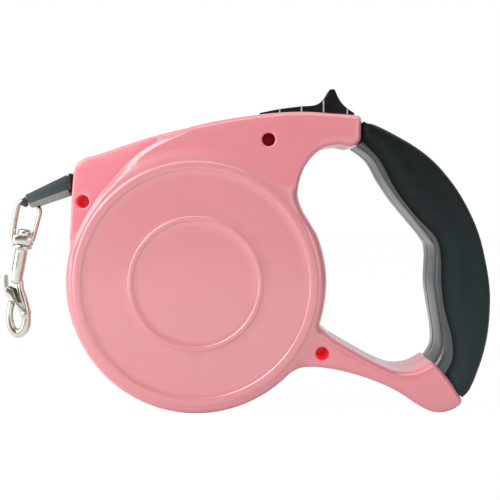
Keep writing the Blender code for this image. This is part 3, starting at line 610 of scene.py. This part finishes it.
class Finish:
    """A procedural material: mottled colour, uneven gloss and a fine surface relief."""

    def __init__(self, name, colour, second, roughness, metallic=0.0, grain=(260, 700), detail=3, **fixed):
        self.material = bpy.data.materials.new(name)
        self.material.use_nodes = True
        self.nodes = self.material.node_tree.nodes
        self.links = self.material.node_tree.links
        self.shader = self.nodes["Principled BSDF"]
        self.shader.inputs["Metallic"].default_value = metallic
        for socket, value in fixed.items():
            self.shader.inputs[socket.replace("_", " ")].default_value = value
        self.place = self.nodes.new("ShaderNodeTexCoord").outputs["Object"]
        self.colour = self.mix(self.noise(grain[0], detail), colour, second, 0.35, 0.65)
        self.gloss = self.spread(self.noise(grain[1], detail), 0.3, 0.7, roughness * 0.85, roughness * 1.15)
        self.normal = None

    def noise(self, scale, detail, stretch=(1, 1, 1)):
        """Noise through the part, finer along an axis where stretch is larger."""
        where = self.nodes.new("ShaderNodeMapping")
        where.inputs["Scale"].default_value = stretch
        self.links.new(self.place, where.inputs["Vector"])
        made = self.nodes.new("ShaderNodeTexNoise")
        made.inputs["Scale"].default_value = scale
        made.inputs["Detail"].default_value = detail
        self.links.new(where.outputs["Vector"], made.inputs["Vector"])
        return made.outputs["Fac"]

    def spread(self, source, low, high, to_low, to_high):
        """A value carried from one range to another."""
        made = self.nodes.new("ShaderNodeMapRange")
        for socket, value in zip(("From Min", "From Max", "To Min", "To Max"), (low, high, to_low, to_high)):
            made.inputs[socket].default_value = value
        self.links.new(source, made.inputs["Value"])
        return made.outputs["Result"]

    def mix(self, factor, first, second, low=0.0, high=1.0):
        """Mixes two colours, or a socket's colour and another."""
        made = self.nodes.new("ShaderNodeMix")
        made.data_type = "RGBA"
        self.links.new(self.spread(factor, low, high, 0, 1), made.inputs["Factor"])
        for socket, value in ((made.inputs[6], first), (made.inputs[7], second)):
            if isinstance(value, tuple):
                socket.default_value = (*value, 1)
            else:
                self.links.new(value, socket)
        return made.outputs[2]

    def thinness(self, thin, thick):
        """One where the case's half is no more than thin, falling to nought where it is thick."""
        parts = self.nodes.new("ShaderNodeSeparateXYZ")
        self.links.new(self.place, parts.inputs["Vector"])
        depth = self.nodes.new("ShaderNodeMath")
        depth.operation = "ABSOLUTE"
        self.links.new(parts.outputs["Y"], depth.inputs[0])
        return self.spread(depth.outputs[0], thin * MM, thick * MM, 1, 0)

    def relief(self, height, strength, depth_mm):
        """Raises the surface by a height, over whatever relief it has already."""
        made = self.nodes.new("ShaderNodeBump")
        made.inputs["Strength"].default_value = strength
        made.inputs["Distance"].default_value = depth_mm * MM
        self.links.new(height, made.inputs["Height"])
        if self.normal is not None:
            self.links.new(self.normal, made.inputs["Normal"])
        self.normal = made.outputs["Normal"]
        return self

    def edge_wear_and_highlight(self, colour, low=0.52, high=0.60):
        """Wear and a painted highlight along the edges that stand proud, paler where the surface is pointy.
        """
        edges = self.nodes.new("ShaderNodeNewGeometry").outputs["Pointiness"]
        self.colour = self.mix(edges, self.colour, colour, low, high)
        return self

    def woven(self, pitch_mm):
        """The over-and-under of flat webbing, along X and across Y."""
        parts = self.nodes.new("ShaderNodeSeparateXYZ")
        self.links.new(self.place, parts.inputs["Vector"])
        waves = []
        for axis, pitch in (("X", pitch_mm), ("Y", pitch_mm * 1.15)):
            scaled = self.nodes.new("ShaderNodeMath")
            scaled.operation = "MULTIPLY"
            scaled.inputs[1].default_value = math.tau / (pitch * MM)
            self.links.new(parts.outputs[axis], scaled.inputs[0])
            wave = self.nodes.new("ShaderNodeMath")
            wave.operation = "SINE"
            self.links.new(scaled.outputs[0], wave.inputs[0])
            waves.append(wave.outputs[0])
        product = self.nodes.new("ShaderNodeMath")
        product.operation = "MULTIPLY"
        self.links.new(waves[0], product.inputs[0])
        self.links.new(waves[1], product.inputs[1])
        return product.outputs[0]

    def made(self):
        """The finished material."""
        self.links.new(self.colour, self.shader.inputs["Base Color"])
        self.links.new(self.gloss, self.shader.inputs["Roughness"])
        if self.normal is not None:
            self.links.new(self.normal, self.shader.inputs["Normal"])
        return self.material


def finishes():
    """Every material, by name."""
    made = {}
    pink = Finish("pink abs", (0.577, 0.212, 0.231), (0.568, 0.206, 0.225), 0.34, grain=(40, 60),
                  detail=1, Coat_Weight=1.0, Coat_Roughness=0.10)
    # Painted light: the deck is painted a little redder and the nose brighter than the drum's face, for how
    # the light falls on them; the case is one pink all over.
    pink.colour = pink.mix(pink.thinness(DECK_FACE, DRUM_FACE), pink.colour, (0.597, 0.194, 0.219))
    pink.colour = pink.mix(pink.thinness(NOSE_HALF, DECK_HALF), pink.colour, (0.665, 0.202, 0.239))
    made["pink"] = pink.relief(pink.noise(150, 0), 0.03, 0.02).made()
    # The wells are painted deep red as painted shade and reflection between close walls, and the glowing ones
    # also glow as painted light; their screws are painted red as a painted reflection of the walls round
    # them.
    for name, strength in (("deep", 0.0), ("glowing", 0.35)):
        plastic = Finish(name + " red abs", (0.72, 0.035, 0.055), (0.62, 0.025, 0.042), 0.35,
                         Emission_Color=(0.95, 0.035, 0.06, 1), Emission_Strength=strength)
        screw = Finish(name + " red lacquer", (0.50, 0.015, 0.028), (0.40, 0.010, 0.020), 0.4,
                       Emission_Color=(0.9, 0.03, 0.05, 1), Emission_Strength=strength * 0.6)
        made[name], made[name + " screw"] = plastic.made(), screw.made()
    rubber = Finish("soft black rubber", (0.003, 0.006, 0.006), (0.005, 0.009, 0.009), 0.46,
                    Specular_IOR_Level=0.14)
    # Painted light and shade: the pad is painted lighter towards its bottom and darker towards its top.
    height = rubber.nodes.new("ShaderNodeSeparateXYZ")
    rubber.links.new(rubber.place, height.inputs["Vector"])
    rubber.colour = rubber.mix(height.outputs["Z"], (0.017, 0.026, 0.027), rubber.colour, 0.015, 0.105)
    made["rubber"] = rubber.relief(rubber.noise(5200, 3), 0.25, 0.02).made()
    grey = Finish("dark grey gloss", (0.042, 0.050, 0.052), (0.036, 0.044, 0.046), 0.23, Coat_Weight=0.3,
                  Coat_Roughness=0.15)
    made["grey"] = grey.relief(grey.noise(1500, 2), 0.08, 0.02).made()
    black = Finish("moulded black", (0.007, 0.006, 0.007), (0.010, 0.009, 0.010), 0.34,
                   Specular_IOR_Level=0.15)
    # Its proud edges are paler: wear and a painted highlight.
    made["black"] = black.relief(black.noise(4200, 3), 0.2, 0.02).edge_wear_and_highlight((0.02, 0.02, 0.02), 0.55, 0.65).made()
    made["collar"] = Finish("polished black", (0.016, 0.010, 0.012), (0.022, 0.013, 0.016), 0.14).made()
    # The slider's ribs are painted light grey: a painted highlight along each rounded rib of black plastic.
    made["rib"] = Finish("polished rib", (0.30, 0.30, 0.30), (0.26, 0.26, 0.26), 0.22).made()
    slate = Finish("slate sleeve", (0.024, 0.036, 0.038), (0.031, 0.044, 0.046), 0.36)
    slate.relief(slate.noise(900, 3, (0.15, 1, 1)), 0.3, 0.06)
    # Its proud edges are paler: wear and a painted highlight.
    made["slate"] = slate.edge_wear_and_highlight((0.07, 0.08, 0.085)).made()
    # The sleeve's downward faces are painted pale grey: a painted reflection of the white floor below them.
    under = Finish("pale sleeve underside", (0.26, 0.285, 0.28), (0.235, 0.26, 0.255), 0.4)
    made["under"] = under.relief(under.noise(900, 3, (0.15, 1, 1)), 0.2, 0.04).made()
    tape = Finish("black webbing", (0.008, 0.008, 0.009), (0.016, 0.016, 0.018), 0.75, Sheen_Weight=0.3)
    weave = tape.woven(0.9)
    tape.colour = tape.mix(weave, tape.colour, (0.030, 0.030, 0.033), -1, 1)
    made["tape"] = tape.relief(weave, 0.9, 0.12).relief(tape.noise(6000, 2), 0.3, 0.03).made()
    nickel = Finish("nickel plate", (0.59, 0.58, 0.51), (0.53, 0.52, 0.455), 0.20, 1.0)
    nickel.relief(nickel.noise(450, 2), 0.12, 0.08)
    # Its proud edges are paler: wear and a painted highlight.
    made["nickel"] = nickel.edge_wear_and_highlight((0.74, 0.73, 0.67), 0.53, 0.62).made()
    steel = Finish("bright steel", (0.55, 0.55, 0.56), (0.47, 0.47, 0.48), 0.34, 1.0)
    made["steel"] = steel.relief(steel.noise(1800, 2, (1, 0.1, 1)), 0.2, 0.02).made()
    spring = Finish("blued spring steel", (0.22, 0.24, 0.30), (0.16, 0.17, 0.22), 0.35, 1.0)
    made["spring"] = spring.relief(spring.noise(2000, 2), 0.2, 0.02).made()
    brass = Finish("turned brass", (0.72, 0.52, 0.22), (0.62, 0.44, 0.18), 0.34, 1.0)
    made["brass"] = brass.relief(brass.noise(1800, 2), 0.2, 0.02).made()
    acetal = Finish("white acetal", (0.76, 0.76, 0.73), (0.70, 0.70, 0.67), 0.45)
    made["acetal"] = acetal.relief(acetal.noise(1500, 2), 0.15, 0.02).made()
    return made


# ---------------------------------------------------------------- handle

def stations(first, second, count):
    """Matching points along two curves."""
    return resample(smooth(first), count), resample(smooth(second), count)


def grip_cover():
    """The soft pad: full and round at the back of the hand, sloping down to the groove at the palm."""
    groove, back = stations(GROOVE, GRIP_BACK[::-1], 90)
    at_groove, beside, full = PAD_HALVES
    rows = []
    for k, (inner, outer) in enumerate(zip(groove, back)):
        width = np.linalg.norm(outer - inner)
        across = (outer - inner) / width
        inner = inner + across * 0.3
        width -= 0.3
        end = min(k, len(groove) - 1 - k)
        shrink = (0.9, 0.45, 0.15, 0.0)[min(end, 3)]
        half = [(0.0, at_groove - shrink), (0.25, beside - shrink)]
        for depth in (1.2, 2.6, 4.2, 6.0, PAD_SLOPE):
            half.append((depth, beside + (full - beside) * smoothstep(depth / PAD_SLOPE) - shrink))
        flat_end = width - PAD_BEND
        half += [(PAD_SLOPE + (flat_end - PAD_SLOPE) * f, full - shrink) for f in (0.33, 0.66, 1.0)]
        for angle in range(12, 91, 13):
            a = math.radians(angle)
            half.append((flat_end + (PAD_BEND - shrink) * math.sin(a) ** 0.7,
                         (full - shrink) * math.cos(a) ** 0.6))
        half[-1] = (width - shrink, 0.0)
        loop = half + [(depth, -y) for depth, y in half[-2::-1]]
        rows.append([(*(inner + across * depth), y) for depth, y in loop])
    rows = [[(x, y, z) for x, z, y in row] for row in rows]
    return shade(loft(rows, name="grip_cover"), 50)


# The palm strip's section: how far towards the palm, and how far from the middle
PALM_FACE = [(-0.2, 0.16), (0.55, 0.2), (0.9, 0.42), (1.0, 0.8), (0.75, 3.0), (0.5, 5.5), (0.1, 8.0),
             (-0.2, 9.2), (-0.8, 10.2), (-1.8, 10.9), (-3.0, 11.1)]
PALM_FOOT = [(0.0, 11.1), (-0.25, 10.7), (-0.3, 9.0), (-0.3, 0.1)]


def palm_half(side):
    """One half of the glossy palm strip, crowned towards the seam in the middle."""
    groove, palm = stations(GROOVE, PALM_EDGE, 110)
    rows = []
    for inner, outer in zip(groove, palm):
        width = np.linalg.norm(outer - inner)
        across = (outer - inner) / width
        scale = min(1.0, width / 4.2)
        loop = [(width + d * scale, y) for d, y in PALM_FACE] + PALM_FOOT
        rows.append([(*(inner + across * d), side * y) for d, y in loop])
    rows = [[(x, y, z) for x, z, y in row] for row in rows]
    return shade(loft(rows, name="palm_left" if side < 0 else "palm_right"), 50)


# ---------------------------------------------------------------- thumb slider, mouth, tape and sleeve

def thumb_slider():
    """The brake's slider: a long low ramp, a fin for the thumb, and the ramped lug inside the case."""
    ramp = smooth([(25.4, 68.2), (33.0, 69.7), (41.5, 70.8), (47.0, 71.2), (49.6, 72.2), (51.6, 74.0),
                   (53.0, 76.2), (53.7, 77.5)], 4)
    back = smooth([(56.0, 77.4), (56.9, 75.2), (58.6, 72.3), (61.0, 70.0), (63.7, 68.2)], 4)
    outline = [(25.4, 64.9)] + ramp + [(54.3, 77.8), (55.5, 77.8)] + back + [(63.7, 64.9)]
    cap = rounded(prism(outline, -4.95, 4.95, name="thumb_slider"), 0.35, 3, 40)
    lug = prism([(38.0, 65.2), (44.0, 65.2), (44.0, 51.7), (38.0, 56.4)], 1.6, 7.0)
    boolean(cap, [lug], "UNION")
    return shade(cap, 40)


def slider_ribs():
    """The thin ribs over the slider."""
    ribs = []
    for x, top in ((33.6, 69.75), (42.4, 70.85), (51.3, 73.6), (60.9, 70.0)):
        path = [(-5.0, 65.4), (-5.0, top - 0.9), (-4.7, top - 0.25), (-4.0, top)]
        path += [(-y, z) for y, z in path[::-1]]
        section = superellipse(0.34, 0.30, 2.2, 10)
        rows = []
        for i, (y, z) in enumerate(path):
            before, after = path[max(i - 1, 0)], path[min(i + 1, len(path) - 1)]
            along = Vector((after[0] - before[0], after[1] - before[1])).normalized()
            rows.append([(x + a, y - along.y * b, z + along.x * b) for a, b in section])
        ribs.append(loft(rows))
    return shade(joined(ribs, "slider_ribs"), 60)


def mouth_collar():
    """The dark collar that the tape slides through."""
    flange = rounded(block((COLLAR_FACE, -50.0), (-7.1, 7.1), (37.3, 43.7)), 0.4)
    stem = block((COLLAR_FACE + 0.4, -45.2), (-6.3, 6.3), (36.0, 43.0))
    collar = boolean(flange, [stem], "UNION")
    boolean(collar, [rounded(block((-56, -44), (-5.6, 5.6), (38.1, 41.4)), 0.5)], "DIFFERENCE")
    collar.name = "mouth_collar"
    return shade(collar)


def rubber_stop():
    """The tapered sleeve that stops the tape's end at the mouth, with its two lower corners cut away."""
    rows = []
    for reach, top, bottom, cut in SLEEVE_ENDS:
        flat = SLEEVE_HALF - 1.3 * cut
        half = [(SLEEVE_HALF - 0.1, top), (SLEEVE_HALF + 0.05, top * 0.18), (SLEEVE_HALF - 0.1, bottom + cut),
                (flat, bottom)]
        rows.append([(-reach, y, z) for y, z in half + [(-y, z) for y, z in half[::-1]]])
    stop = loft(rows, SLEEVE)
    boolean(stop, [block((COLLAR_FACE - 0.3, -40), (-8, 8), (25, 50))], "DIFFERENCE")
    rounded(stop, 0.4, 4, 14)
    bore = block((-20, 2), (-5.4, 5.4), (-1.1, 1.1), SLEEVE)
    notch = block((-20, -14.4), (-2.1, 2.1), (-6, 1.7), SLEEVE)
    boolean(stop, [bore, notch], "DIFFERENCE")
    stop.name = "rubber_stop"
    return shade(stop, 30)


def tape():
    """The free stretch of webbing, with rounded edges."""
    droop = math.radians(SLEEVE_DROOP_DEG)
    in_sleeve = [(SLEEVE_START[0] - t * math.cos(droop), SLEEVE_START[1] - t * math.sin(droop))
                 for t in (1.0, 4.0, 8.0, 12.8)]
    path = resample([(-1.0, 42.7), (-50.0, 39.7), (-51.2, 39.42)] + in_sleeve, 60)
    return shade(sweep(path, [superellipse(0.4, TAPE_HALF, 5, 24)] * len(path), name="tape_webbing"), 50)


def gathered_loop():
    """The tape's end, folded narrow and taken once round the ring's top bar."""
    bar = SNAP @ Vector((BAR_AT[0], 0, -BAR_AT[1]))
    bar = (bar - REEL) / MM
    around_bar = local_frame(bar.x, bar.z, SNAP_TILT_DEG + BAR_TILT_DEG + 90)
    outer = [(1.55, -1.25), (1.85, -1.1), (1.98, -0.8), (1.86, -0.55), (2.0, -0.25), (1.9, 0.0), (2.03, 0.3),
             (1.9, 0.6), (1.98, 0.85), (1.85, 1.1), (1.55, 1.25)]
    rows = []
    for radius, height in outer + [(1.2, 1.25), (1.2, -1.25)]:
        turns = np.radians(np.arange(0, 360, 9))
        rows.append([(radius * math.cos(a) * (1 + 0.03 * math.sin(5 * a)), radius * math.sin(a), height)
                     for a in turns])
    pieces = [loft(rows, around_bar, ring=True)]
    for y, drop in ((-1.35, 0.05), (-0.45, -0.08), (0.45, 0.06), (1.35, -0.05)):
        bends = [(-13.1, 0.0), (-15.0, 0.1), (-16.8, 0.55 + drop), (-18.9, 1.6 + drop)]
        path = resample(smooth(bends, 5), 24)
        section = [(a, y + b) for a, b in superellipse(0.42, 0.5, 2.2, 12)]
        pieces.append(sweep(path, [section] * len(path), SLEEVE))
    return shade(joined(pieces, "gathered_loop"), 60)


# ---------------------------------------------------------------- the snap, with u across it and v down it

RING_LINE = [(-4.5, 15.0), (-4.75, 9.8), (-4.75, 6.0), (-4.7, 3.4), (-4.5, 1.2), (-3.9, -0.1), (-3.0, -0.67),
             (-1.0, -0.3), (1.0, 0.08), (3.0, 0.45), (4.2, 1.1), (4.7, 2.4), (4.65, 4.5), (4.3, 8.5),
             (4.0, 12.0), (3.7, 15.0)]


def upright(points):
    """Points across and down the snap as X and Z in its frame."""
    return [(u, -v) for u, v in points]


def turned(section, angle_deg):
    """A section turned about its middle."""
    c, s = math.cos(math.radians(angle_deg)), math.sin(math.radians(angle_deg))
    return [(a * c - b * s, a * s + b * c) for a, b in section]


def snap_ring():
    """The ring: a bent wire, stouter on its left, that closes on a thick foot."""
    path = resample(upright(smooth(RING_LINE, 6)), 90, closed=True)
    path = resample(relax(path, 2), 90, closed=True)
    halves = [1.05 - 0.22 * smoothstep((u + 3.0) / 6.0) for u, _ in path]
    sections = [turned(superellipse(half, 0.75, 3.2, 24), WIRE_TURN_DEG * math.tanh(u))
                for half, (u, _) in zip(halves, path)]
    wire = sweep(path, sections, SNAP, ring=True)
    levels = ((-13.25, 0.9), (-13.4, 0.96), (-13.75, 1.0), (-16.45, 1.0), (-16.8, 0.96), (-16.95, 0.9))
    sections = [turned(superellipse(4.3 * size, 2.25 * size, 2.6, 40), FOOT_TURN_DEG) for _, size in levels]
    foot = sweep([(-0.15, z) for z, _ in levels], sections, SNAP)
    boolean(foot, [wire], "UNION")
    bore = lathe([(STUD_BORE_R, -20), (STUD_BORE_R, -10)], SNAP)
    boolean(foot, [bore], "DIFFERENCE")
    foot.name = "snap_ring"
    return shade(foot, 38)


def rivet_stud():
    """The stud's domed head, which the snap hangs by."""
    dome = [(0.05, -10.45), (1.5, -10.5), (2.3, -10.75), (2.75, -11.2), (2.85, -11.8), (2.85, -12.6),
            (2.7, -12.95), (1.1, -13.0), (1.1, -24.0), (0.05, -24.0)]
    return shade(lathe(dome, SNAP, name="rivet_stud"), 40)


# Across, down, and the rod's radius there
HOOK_SPINE = [(1.5, 31.6, 1.3), (2.6, 35.3, 1.32), (4.55, 39.5, 1.58), (6.15, 43.3, 1.62), (6.9, 46.6, 1.78),
              (7.05, 49.5, 1.92), (6.2, 51.9, 1.92), (4.3, 53.1, 1.88), (2.0, 51.9, 1.72), (0.45, 49.0, 1.52),
              (-0.2, 46.0, 1.38), (-0.4, 43.4, 1.42), (-0.3, 41.6, 1.5), (-0.25, 40.9, 1.35),
              (-0.25, 40.5, 0.9), (-0.25, 40.3, 0.2)]


def snap_body():
    """The barrel with its collar bead, and the hook that curves down and round from it."""
    profile = [(0.05, -17.15), (3.2, -17.15), (3.75, -17.3), (3.95, -17.65), (3.9, -18.15), (3.5, -18.5),
               (2.9, -18.75), (2.6, -19.3), (2.58, -20.4), (2.55, -26.0), (2.45, -31.6), (2.2, -32.6),
               (1.6, -33.1), (0.05, -33.2)]
    barrel = lathe(profile, SNAP, 56)
    spine = np.array(smooth([(u, v, r) for u, v, r in HOOK_SPINE], 6))
    path = np.column_stack([spine[:, 0], -spine[:, 1]])
    hook = sweep(path, [superellipse(r, r * 1.02, 2.1, 22) for r in spine[:, 2]], SNAP)
    body = boolean(barrel, [hook], "UNION")
    room = block((-4.5, 0.6), (-1.7, 1.7), (-37.5, -28.0), SNAP)
    bore = lathe([(STUD_BORE_R, -16), (STUD_BORE_R, -25)], SNAP)
    boolean(body, [room, bore], "DIFFERENCE")
    body.name = "snap_body"
    return shade(body, 40)


def snap_gate():
    """The gate: a stamped channel over the hook's arm, with a ridged thumb tab."""
    cheek = [(-3.1, 36.6), (-2.7, 38.4), (-0.5, 39.05), (1.35, 40.2), (2.9, 42.0), (4.1, 43.85), (4.9, 45.4),
             (5.8, 46.4), (7.0, 46.3), (7.8, 45.2), (7.7, 43.8), (6.8, 42.9), (5.2, 42.4), (3.6, 40.9),
             (2.1, 39.3), (1.0, 37.3), (0.1, 35.5), (-2.9, 34.8)]
    inner = [(-2.4, 33.0), (-2.2, 37.7), (-0.3, 38.45), (1.2, 39.4), (2.2, 40.6), (2.2, 48.0), (9.5, 48.0),
             (9.5, 33.0)]
    tab = [(-5.25, 30.4), (-4.0, 30.3), (-3.0, 35.0), (-2.0, 35.4), (-1.9, 37.4), (-3.4, 37.6),
           (-4.15, 36.85)]
    gate = prism(upright(cheek), -2.9, 2.9, SNAP)
    rounded(gate, 0.25, 3, 20)
    boolean(gate, [prism(upright(inner), -2.3, 2.3, SNAP)], "DIFFERENCE")
    thumb = rounded(prism(upright(tab), -1.35, 1.35, SNAP), 0.2, 2, 20)
    boolean(gate, [thumb], "UNION")
    pin = [prism(circle((GATE_PIVOT[0], -GATE_PIVOT[1]), 0.9, 24), -4, 4, SNAP)]
    boolean(gate, pin, "DIFFERENCE")
    ridges = []
    for v in np.arange(31.0, 36.6, 0.8):
        left = -5.38 + (v - 30.4) * 0.17
        ridges.append(block((left, left + 1.1), (-1.45, 1.45), (-v - 0.2, -v + 0.2), SNAP))
    gate = joined([gate] + ridges, "snap_gate")
    return shade(gate, 40)


def rivet_pin():
    """The gate's pin, with its two peened heads."""
    head = [(0.05, -3.35), (0.7, -3.3), (1.05, -3.1), (1.1, -2.95), (0.6, -2.9)]
    profile = head + [(radius, -height) for radius, height in head[::-1]]
    frame_here = SNAP @ Matrix.Translation((GATE_PIVOT[0], 0, -GATE_PIVOT[1]))
    return shade(lathe(profile, frame_here, 24, "rivet_pin", along_y=True), 50)


# ---------------------------------------------------------------- stage

def area_light(name, where, size, watts):
    """A softbox that faces the leash."""
    data = bpy.data.lights.new(name, "AREA")
    data.shape = "RECTANGLE"
    data.size, data.size_y = size
    data.energy = watts
    light = bpy.data.objects.new(name, data)
    bpy.context.scene.collection.objects.link(light)
    light.location = where
    light.rotation_euler = (Vector(LIGHTS_AIM) - Vector(where)).to_track_quat("-Z", "Y").to_euler()


def white_world():
    """A white studio: pure white to the eye, and as a light dim in front and brighter behind."""
    world = bpy.data.worlds.new("studio")
    bpy.context.scene.world = world
    world.use_nodes = True
    nodes, links = world.node_tree.nodes, world.node_tree.links
    nodes.clear()
    where = nodes.new("ShaderNodeTexCoord")
    parts = nodes.new("ShaderNodeSeparateXYZ")
    links.new(where.outputs["Generated"], parts.inputs["Vector"])
    ramp = nodes.new("ShaderNodeValToRGB")
    lift = nodes.new("ShaderNodeMapRange")
    lift.inputs["From Min"].default_value = -1
    links.new(parts.outputs["Y"], lift.inputs["Value"])
    links.new(lift.outputs["Result"], ramp.inputs["Fac"])
    stops = ramp.color_ramp.elements
    stops[0].position, stops[0].color = 0.0, (*[FRONT_LIGHT] * 3, 1)
    stops[1].position, stops[1].color = 0.75, (*[BACK_LIGHT] * 3, 1)
    middle = stops.new(0.4)
    middle.color = (*[SIDE_LIGHT] * 3, 1)
    light = nodes.new("ShaderNodeBackground")
    links.new(ramp.outputs["Color"], light.inputs["Color"])
    seen = nodes.new("ShaderNodeBackground")
    seen.inputs["Color"].default_value = (1, 1, 1, 1)
    rays = nodes.new("ShaderNodeLightPath")
    mix = nodes.new("ShaderNodeMixShader")
    links.new(rays.outputs["Is Camera Ray"], mix.inputs[0])
    links.new(light.outputs[0], mix.inputs[1])
    links.new(seen.outputs[0], mix.inputs[2])
    links.new(mix.outputs[0], nodes.new("ShaderNodeOutputWorld").inputs["Surface"])


def pale_floor():
    """A white floor: all but pure white to the eye, and plain matt white to everything else."""
    bm = bmesh.new()
    bmesh.ops.create_circle(bm, cap_ends=True, segments=96, radius=1.6)
    floor = new_object(bm, "floor")
    floor.location = (0, 0, -0.0003)
    material = bpy.data.materials.new("pale floor")
    material.use_nodes = True
    nodes, links = material.node_tree.nodes, material.node_tree.links
    shader = nodes["Principled BSDF"]
    shader.inputs["Base Color"].default_value = (0.9, 0.9, 0.9, 1)
    shader.inputs["Roughness"].default_value = 0.8
    shader.inputs["Specular IOR Level"].default_value = 0.1
    glow = nodes.new("ShaderNodeEmission")
    rays = nodes.new("ShaderNodeLightPath")
    share = nodes.new("ShaderNodeMath")
    share.operation = "MULTIPLY"
    share.inputs[1].default_value = FLOOR_WHITE
    links.new(rays.outputs["Is Camera Ray"], share.inputs[0])
    mix = nodes.new("ShaderNodeMixShader")
    links.new(share.outputs[0], mix.inputs[0])
    links.new(shader.outputs[0], mix.inputs[1])
    links.new(glow.outputs[0], mix.inputs[2])
    links.new(mix.outputs[0], nodes["Material Output"].inputs["Surface"])
    floor.data.materials.append(material)


def camera():
    """Level with the case, square to its left side, a little right of its middle."""
    data = bpy.data.cameras.new("camera")
    data.sensor_width = 36
    data.lens = CAMERA_LENS
    data.shift_x, data.shift_y = CAMERA_SHIFT
    data.clip_start = 0.01
    made = bpy.data.objects.new("camera", data)
    bpy.context.scene.collection.objects.link(made)
    made.location = REEL + Vector(CAMERA_AT_MM) * MM
    made.rotation_euler = (math.radians(90), 0, 0)
    bpy.context.scene.camera = made


# ---------------------------------------------------------------- the whole

def build():
    """Makes every piece and gives the CAD's inner pieces their materials."""
    finish = finishes()
    left = done(case_shell(-1), "housing", finish["pink"], "pink_shell", "left_shell")
    # The front and tail wells are painted a glowing red and the top well a darker red: painted light and
    # shade.
    colour_wells(left, (finish["glowing"], finish["deep"], finish["glowing"]))
    done(case_shell(1), "housing", finish["pink"], "pink_shell", "right_shell")
    done(grip_cover(), "housing", finish["rubber"], "black_rubber", "grip_pad")
    done(palm_half(-1), "housing", finish["grey"], "grey_gloss", "handle_core_left")
    done(palm_half(1), "housing", finish["grey"], "grey_gloss", "handle_core_right")
    done(thumb_slider(), "button", finish["black"], "black_plastic", "brake_button")
    done(slider_ribs(), "button", finish["rib"], "black_plastic")
    done(mouth_collar(), "housing", finish["collar"], "black_plastic", "mouth_guide")
    stop = done(rubber_stop(), "leash", finish["slate"], "slate_sleeve", "stop_sleeve")
    colour_underside(stop, finish["under"])
    done(tape(), "leash", finish["tape"], "black_tape", "tape_run")
    done(gathered_loop(), "leash", finish["tape"], "black_tape", "tape_loop")
    done(snap_ring(), "ring", finish["nickel"], "nickel", "swivel_ring")
    done(rivet_stud(), "snap", finish["nickel"], "nickel", "swivel_stud")
    done(snap_body(), "snap", finish["nickel"], "nickel", "snap_hook")
    done(snap_gate(), "gate", finish["nickel"], "nickel", "gate_lever")
    done(rivet_pin(), "snap", finish["steel"], "steel", "gate_pin")
    # The CAD's own pieces that stay, by finish
    carried = {"steel": ("reel_axle", "spring_cover", "brake_pawl", "pawl_pin"),
               # The CAD's screws are painted red, glowing on the front and tail: a painted reflection of the
               # well walls round them and painted light.
               "glowing screw": ("case_screw_front", "case_screw_tail"), "deep screw": ("case_screw_top",),
               "spring": ("mainspring", "pawl_spring", "detent_spring", "gate_spring"),
               "brass": ("reel_washer_left", "reel_washer_right"),
               "acetal": ("reel_drum", "reel_flange"), "tape": ("leash_pack",)}
    for name, nodes in carried.items():
        for node in nodes:
            for slot in frame["nodes"][node].material_slots:
                slot.material = finish[name]


build()
white_world()
pale_floor()
for light in LIGHTS:
    area_light(*light)
bpy.context.scene.view_settings.view_transform = "Standard"
camera()
